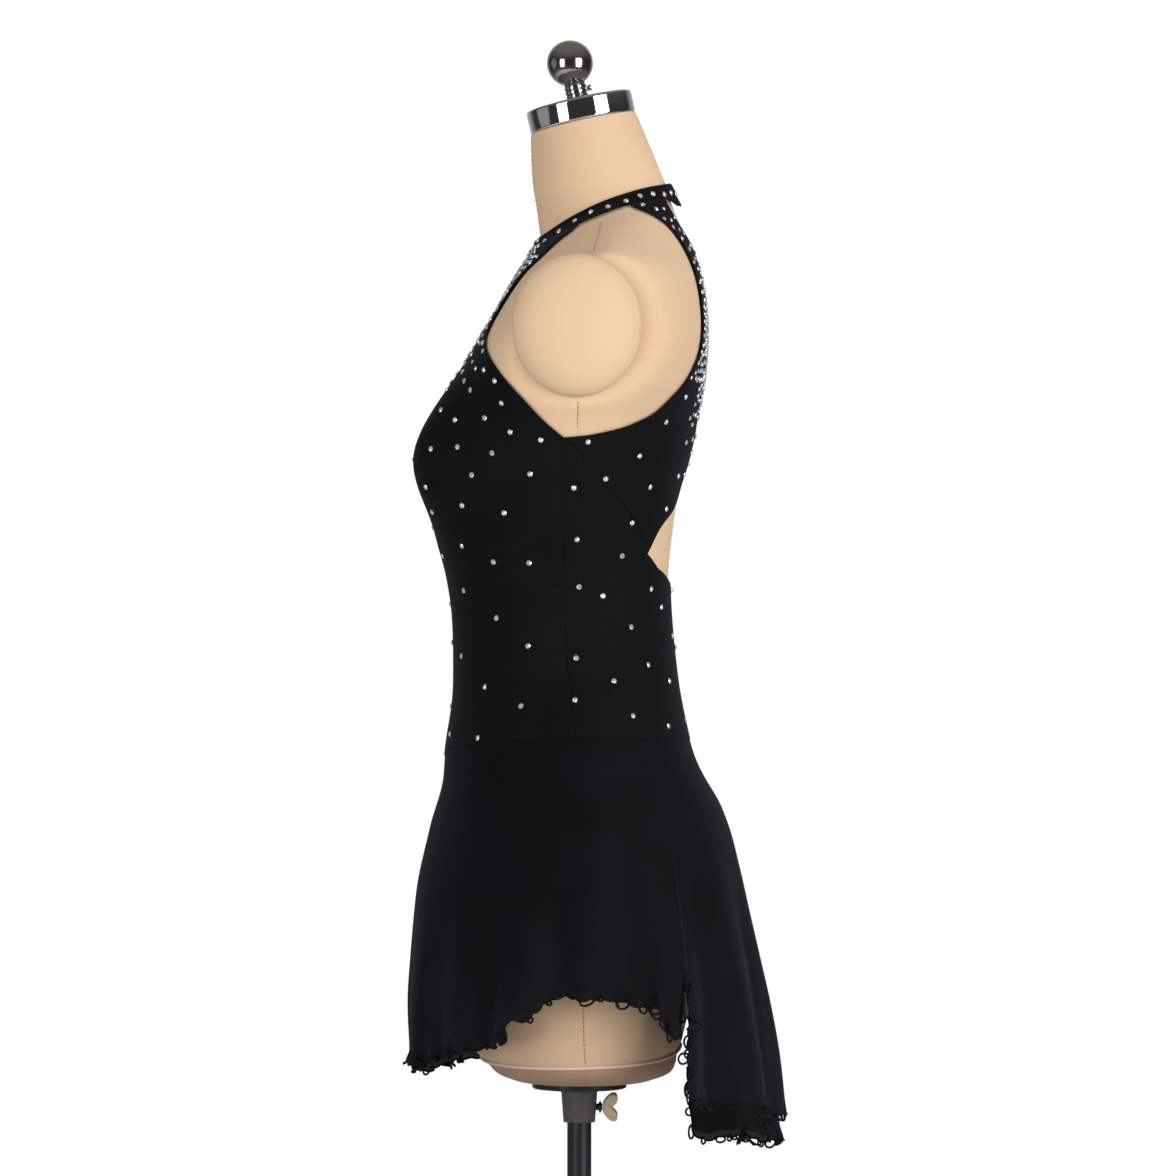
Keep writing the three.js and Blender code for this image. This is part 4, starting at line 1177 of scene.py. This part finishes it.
def finial():
    """The ball on its grooved stem."""
    radius, centre, lowest = 20, 53.6, -63.5
    stem = [
        [0, 20.3], [11, 20.3], [11, 22.5], [9.4, 23.3], [9.4, 25.6], [8.5, 26.2], [9.4, 26.8],
        [9.4, 29.4], [8.5, 30], [9.4, 30.6], [9.4, 33.2], [8.6, 33.8], [9.2, 34.6],
    ]
    ball = [
        [radius * math.cos(a * RAD), centre + radius * math.sin(a * RAD)]
        for a in np.linspace(lowest, 90, 40)
    ]
    piece = lathe("finial_ball", rounded(stem, 0.4) + ball, sharp=40, place=on_neck)
    ride(piece, "form", "gunmetal", ["finial"])


def finial_screw():
    profile = [[0, 9.7], [2.5, 9.7], [2.5, 13.2], [2.1, 13.7], [1.2, 13.7], [1.1, 12.9], [0, 12.9]]
    head = lathe("finial_screw_head", profile, sides=24, sharp=40,
                 place=lambda points: on_neck(sideways(points, FINIAL_SCREW_HEIGHT)))
    ride(head, "form", "chrome", ["finial_screw"])


def base_plate():
    corners = [[11, 627.5], [40, 627.5], [41, 628.5], [41, 637.7], [11, 637.7]]
    plate = lathe("base_plate_steel", rounded(corners, 0.6), bored=True)
    ride(plate, "form", "black_steel", ["base_plate"])


def collar():
    corners = [[11, 598], [13.8, 598], [15.6, 623.2], [17.1, 627.2], [11, 627.2]]
    sleeve = lathe("collar_steel", rounded(corners, 0.5), bored=True)
    ride(sleeve, "carriage", "collar", ["collar"])


def thumb_screw():
    corners = [[0, 10.8], [3, 10.8], [3, 16.9], [5, 17.3], [5, 18.9], [3, 19.4], [3, 20.2], [0, 20.2]]
    bolt = lathe("thumb_screw_steel", rounded(corners, 0.3), sides=32, sharp=40,
                 place=lambda points: sideways(points, SCREW_HEIGHT))
    ride(bolt, "screw", "black_steel", ["thumb_screw"])


def bezier(start, a, b, end, steps):
    t = np.linspace(0, 1, steps + 1)[1:, None]
    start, a, b, end = (np.array(p, float) for p in (start, a, b, end))
    return (1 - t) ** 3 * start + 3 * t * (1 - t) ** 2 * a + 3 * t * t * (1 - t) * b + t ** 3 * end


def wing_knob():
    """Two wings cut from a plate with softened edges, tilted about the screw."""
    foot, length, half, thick, tilt = 20.5, 13, 14, 7, 18 * RAD
    curves = [
        [(0, -4), (5, -half), (length, -half - 2), (length, -8)],
        [(length, -8), (length, -4), (8, -3), (8, 0)],
        [(8, 0), (8, 3), (length, 4), (length, 8)],
        [(length, 8), (length, half + 2), (5, half), (0, 4)],
    ]
    # Layers through the plate: share of its thickness, and how far the outline draws in.
    layers = [
        (-0.5, 0.9), (-0.46, 0.5), (-0.36, 0.12), (-0.2, 0), (0.2, 0), (0.36, 0.12), (0.46, 0.5),
        (0.5, 0.9),
    ]
    outline = np.concatenate([bezier(*curve, 10) for curve in curves])
    outline = np.concatenate([outline, np.linspace(outline[-1], [0, -4], 5)[1:-1], [[0, -4]]])
    toward = unit(outline.mean(0) - outline)
    rings = []
    for share, inset in layers:
        out, wide = (outline + toward * inset).T
        x = share * thick * math.cos(tilt) + wide * math.sin(tilt)
        z = -share * thick * math.sin(tilt) + wide * math.cos(tilt)
        rings.append(np.stack([x, out + foot, z + SCREW_HEIGHT], -1))
    knob = ring_stack("wing_knob_cream", rings[::-1], sharp=50)
    ride(knob, "screw", "cream", ["wing_knob"])


def pole():
    profile = [[0, 7.3], [10.5, 7.3], [10.5, 999.2], [9.7, 1000], [0, 1000]]
    ride(lathe("pole_steel", profile, sides=64), "stand", "black_steel", ["pole"])


def foot():
    corners = [[0, 0], [190, 0], [190, 5], [188, 7], [24, 7], [20, 30], [11, 30], [11, 7.05], [0, 7.05]]
    disc = lathe("foot_steel", rounded(corners, 1.2), sides=128)
    ride(disc, "stand", "black_steel", ["foot"])


form_jersey()
shoulder_cap("shoulder_cap_left", 1, "shoulder_plate_left")
shoulder_cap("shoulder_cap_right", -1, "shoulder_plate_right")
for build in (
    neck_cap, finial, finial_screw, base_plate, collar, thumb_screw, wing_knob, pole, foot, piping,
):
    build()

# ---- sewn lines of the form ----
STITCH, STITCH_GAP, THREAD = 2.2, 1.7, 0.38
THREAD_RISE = [-0.1, 0.18, 0.18, -0.1]   # how far each stitch's points stand off the jersey
# Stitched rows: seam, lowest and highest point.
STITCHES = {
    "stitch_side_left_upper": (NEAR_SIDE, 1196, 1219), "stitch_side_left_lower": (NEAR_SIDE, 660, 709),
    "stitch_side_right_upper": (FAR_SIDE, 1196, 1219), "stitch_side_right_lower": (FAR_SIDE, 660, 681),
    "stitch_back": (BACK_CENTRE, 1068, 1186), "stitch_neck_back": (BACK_CENTRE, 1396, 1462),
    "stitch_neck_front": (FRONT_CENTRE, 1392, 1462),
}


def stitch_row(name, seam, low, high):
    """Short thread stitches laid in the jersey's groove."""
    height = np.linspace(high, low, 60)
    angle = straight(seam, height)
    normals = normals_of(form_point, height, angle)
    places = form_point(height, angle) + normals * (0.1 - GROOVE_DEPTH * 0.6)
    run = length_along(places)
    lines = []
    for start in np.arange(0.5, run[-1] - STITCH, STITCH + STITCH_GAP):
        along = np.linspace(start, start + STITCH, 4)
        line, out = (np.stack([np.interp(along, run, column) for column in table.T], -1)
                     for table in (places, normals))
        lines.append(line + out * np.array(THREAD_RISE)[:, None])
    ride(tubes(name, lines, THREAD, sides=5), "form", "thread")


for name, row in STITCHES.items():
    stitch_row(name, *row)

SHOULDER_LINE_RADIUS = 0.3
# Thin lines on the shoulder, in pixels of the frame, laid on the near side and mirrored.
SHOULDER_LINES = {
    "shoulder_seam": ("thread", [(601.5, 222), (599, 232), (596, 243), (594, 252)]),
    "shoulder_yoke": ("jersey", [(556, 238), (568, 232), (582, 228), (601, 226), (616, 226.5), (627, 229)]),
}


def shoulder_line(name, finish, pixels):
    form_tree = tree_of(bpy.data.objects["torso_jersey"])
    path = np.column_stack([np.arange(len(pixels)), pixels])
    steps = np.linspace(0, len(pixels) - 1, 48)
    dense = zip(smooth(path, steps, 1), smooth(path, steps, 2))
    found = [form_tree.ray_cast(Vector(CAMERA_PLACE), ray_through(pixel))[0] for pixel in dense]
    line = np.array([tuple(place / MM) for place in found if place is not None])
    for side, ending in ((1, "_left"), (-1, "_right")):
        ride(tube(name + ending, line * [side, 1, 1], SHOULDER_LINE_RADIUS, sides=6), "form", finish)


for name, (finish, pixels) in SHOULDER_LINES.items():
    shoulder_line(name, finish, pixels)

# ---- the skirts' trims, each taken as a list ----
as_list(FRONT_TRIM)
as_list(BACK_TRIM)

# ---- floor, light ----
FLOOR_RADIUS, FLOOR_SIDES, FLOOR_HEIGHT, FLOOR_GREY = 2300, 96, -0.2, 0.66
LIT_POINT = (0, 0, 1.05)
# Each lamp: place, width, height, watts, and whether polished surfaces mirror it.
LAMPS = {
    "key": ((2.31, 2.40, 1.5), 1.75, 2.4, 66, True),
    "side": ((0.7, 3.2, 1.2), 1.2, 2.2, 10, False),
    "low": ((2.4, -2.3, 0.45), 1.4, 0.8, 13, False),
    "fill": ((2.6, -2.12, 1.35), 1.3, 2.2, 29, True),
    "front": ((3.2, 0.4, 1.2), 1.2, 1.2, 12, False),
    "top": ((0.2, 0.6, 3.4), 1.4, 1.4, 8, False),
}


def floor():
    turn = np.arange(FLOOR_SIDES) * TURN / FLOOR_SIDES
    rim = np.stack([
        FLOOR_RADIUS * np.cos(turn), FLOOR_RADIUS * np.sin(turn), np.full(FLOOR_SIDES, FLOOR_HEIGHT),
    ], -1)
    piece = make_object("floor", rim, [tuple(range(FLOOR_SIDES))], soft=False)
    material = bpy.data.materials.new("floor")
    material.use_nodes = True
    shader = material.node_tree.nodes["Principled BSDF"]
    shader.inputs["Base Color"].default_value = (FLOOR_GREY, FLOOR_GREY, FLOOR_GREY, 1)
    shader.inputs["Roughness"].default_value = 0.8
    piece.data.materials.append(material)


def panel_light(name, place, width, height, power, in_gloss):
    data = bpy.data.lights.new(name, "AREA")
    data.shape = "RECTANGLE"
    data.size, data.size_y, data.energy = width, height, power
    lamp = bpy.data.objects.new(name, data)
    lamp.location = place
    lamp.visible_glossy = in_gloss
    lamp.rotation_euler = (Vector(LIT_POINT) - Vector(place)).to_track_quat("-Z", "Y").to_euler()
    bpy.context.scene.collection.objects.link(lamp)


def world():
    """White to the camera and soft grey light; reflections see a lit wall, a ceiling and a screen."""
    made = bpy.data.worlds.new("studio")
    bpy.context.scene.world = made
    made.use_nodes = True
    tree = made.node_tree
    tree.nodes.clear()
    black = (0, 0, 0)

    def plain(colour):
        return node(tree, "Background", {"Color": (*colour, 1)}, "Background")

    def both(first, second):
        return node(tree, "VectorMath", {0: first, 1: second}, operation="ADD")

    place = node(tree, "TexCoord", {}, "Generated")
    x, y, z = node(tree, "SeparateXYZ", {0: place}).node.outputs
    behind = node(tree, "MapRange", {"Value": x, "From Min": -1}, "Result")
    wall = ramp(tree, behind, (0.42, 0.43, 0.45), (0.035, 0.034, 0.033), 0.03, 0.22)
    steep = node(tree, "Math", {0: z}, operation="ABSOLUTE")
    ceiling = ramp(tree, steep, black, (0.20, 0.19, 0.175), 0.25, 0.85)
    ahead = node(tree, "Math", {0: y, 1: -1}, operation="MULTIPLY")
    screen = ramp(tree, ahead, black, (0.26, 0.25, 0.235), 0.94, 0.965)
    mirror = node(tree, "Background", {"Color": both(both(wall, ceiling), screen)})
    ray = node(tree, "LightPath", {}).node.outputs
    soft = plain((0.34, 0.34, 0.345))
    bounced = node(tree, "MixShader", {"Fac": ray["Is Glossy Ray"], 1: soft, 2: mirror})
    seen = node(tree, "MixShader", {"Fac": ray["Is Camera Ray"], 1: bounced, 2: plain((1, 1, 1))})
    tree.links.new(seen, tree.nodes.new("ShaderNodeOutputWorld").inputs["Surface"])


floor()
world()
for name, lamp in LAMPS.items():
    panel_light(name, *lamp)
bpy.context.scene.view_settings.view_transform = "Standard"
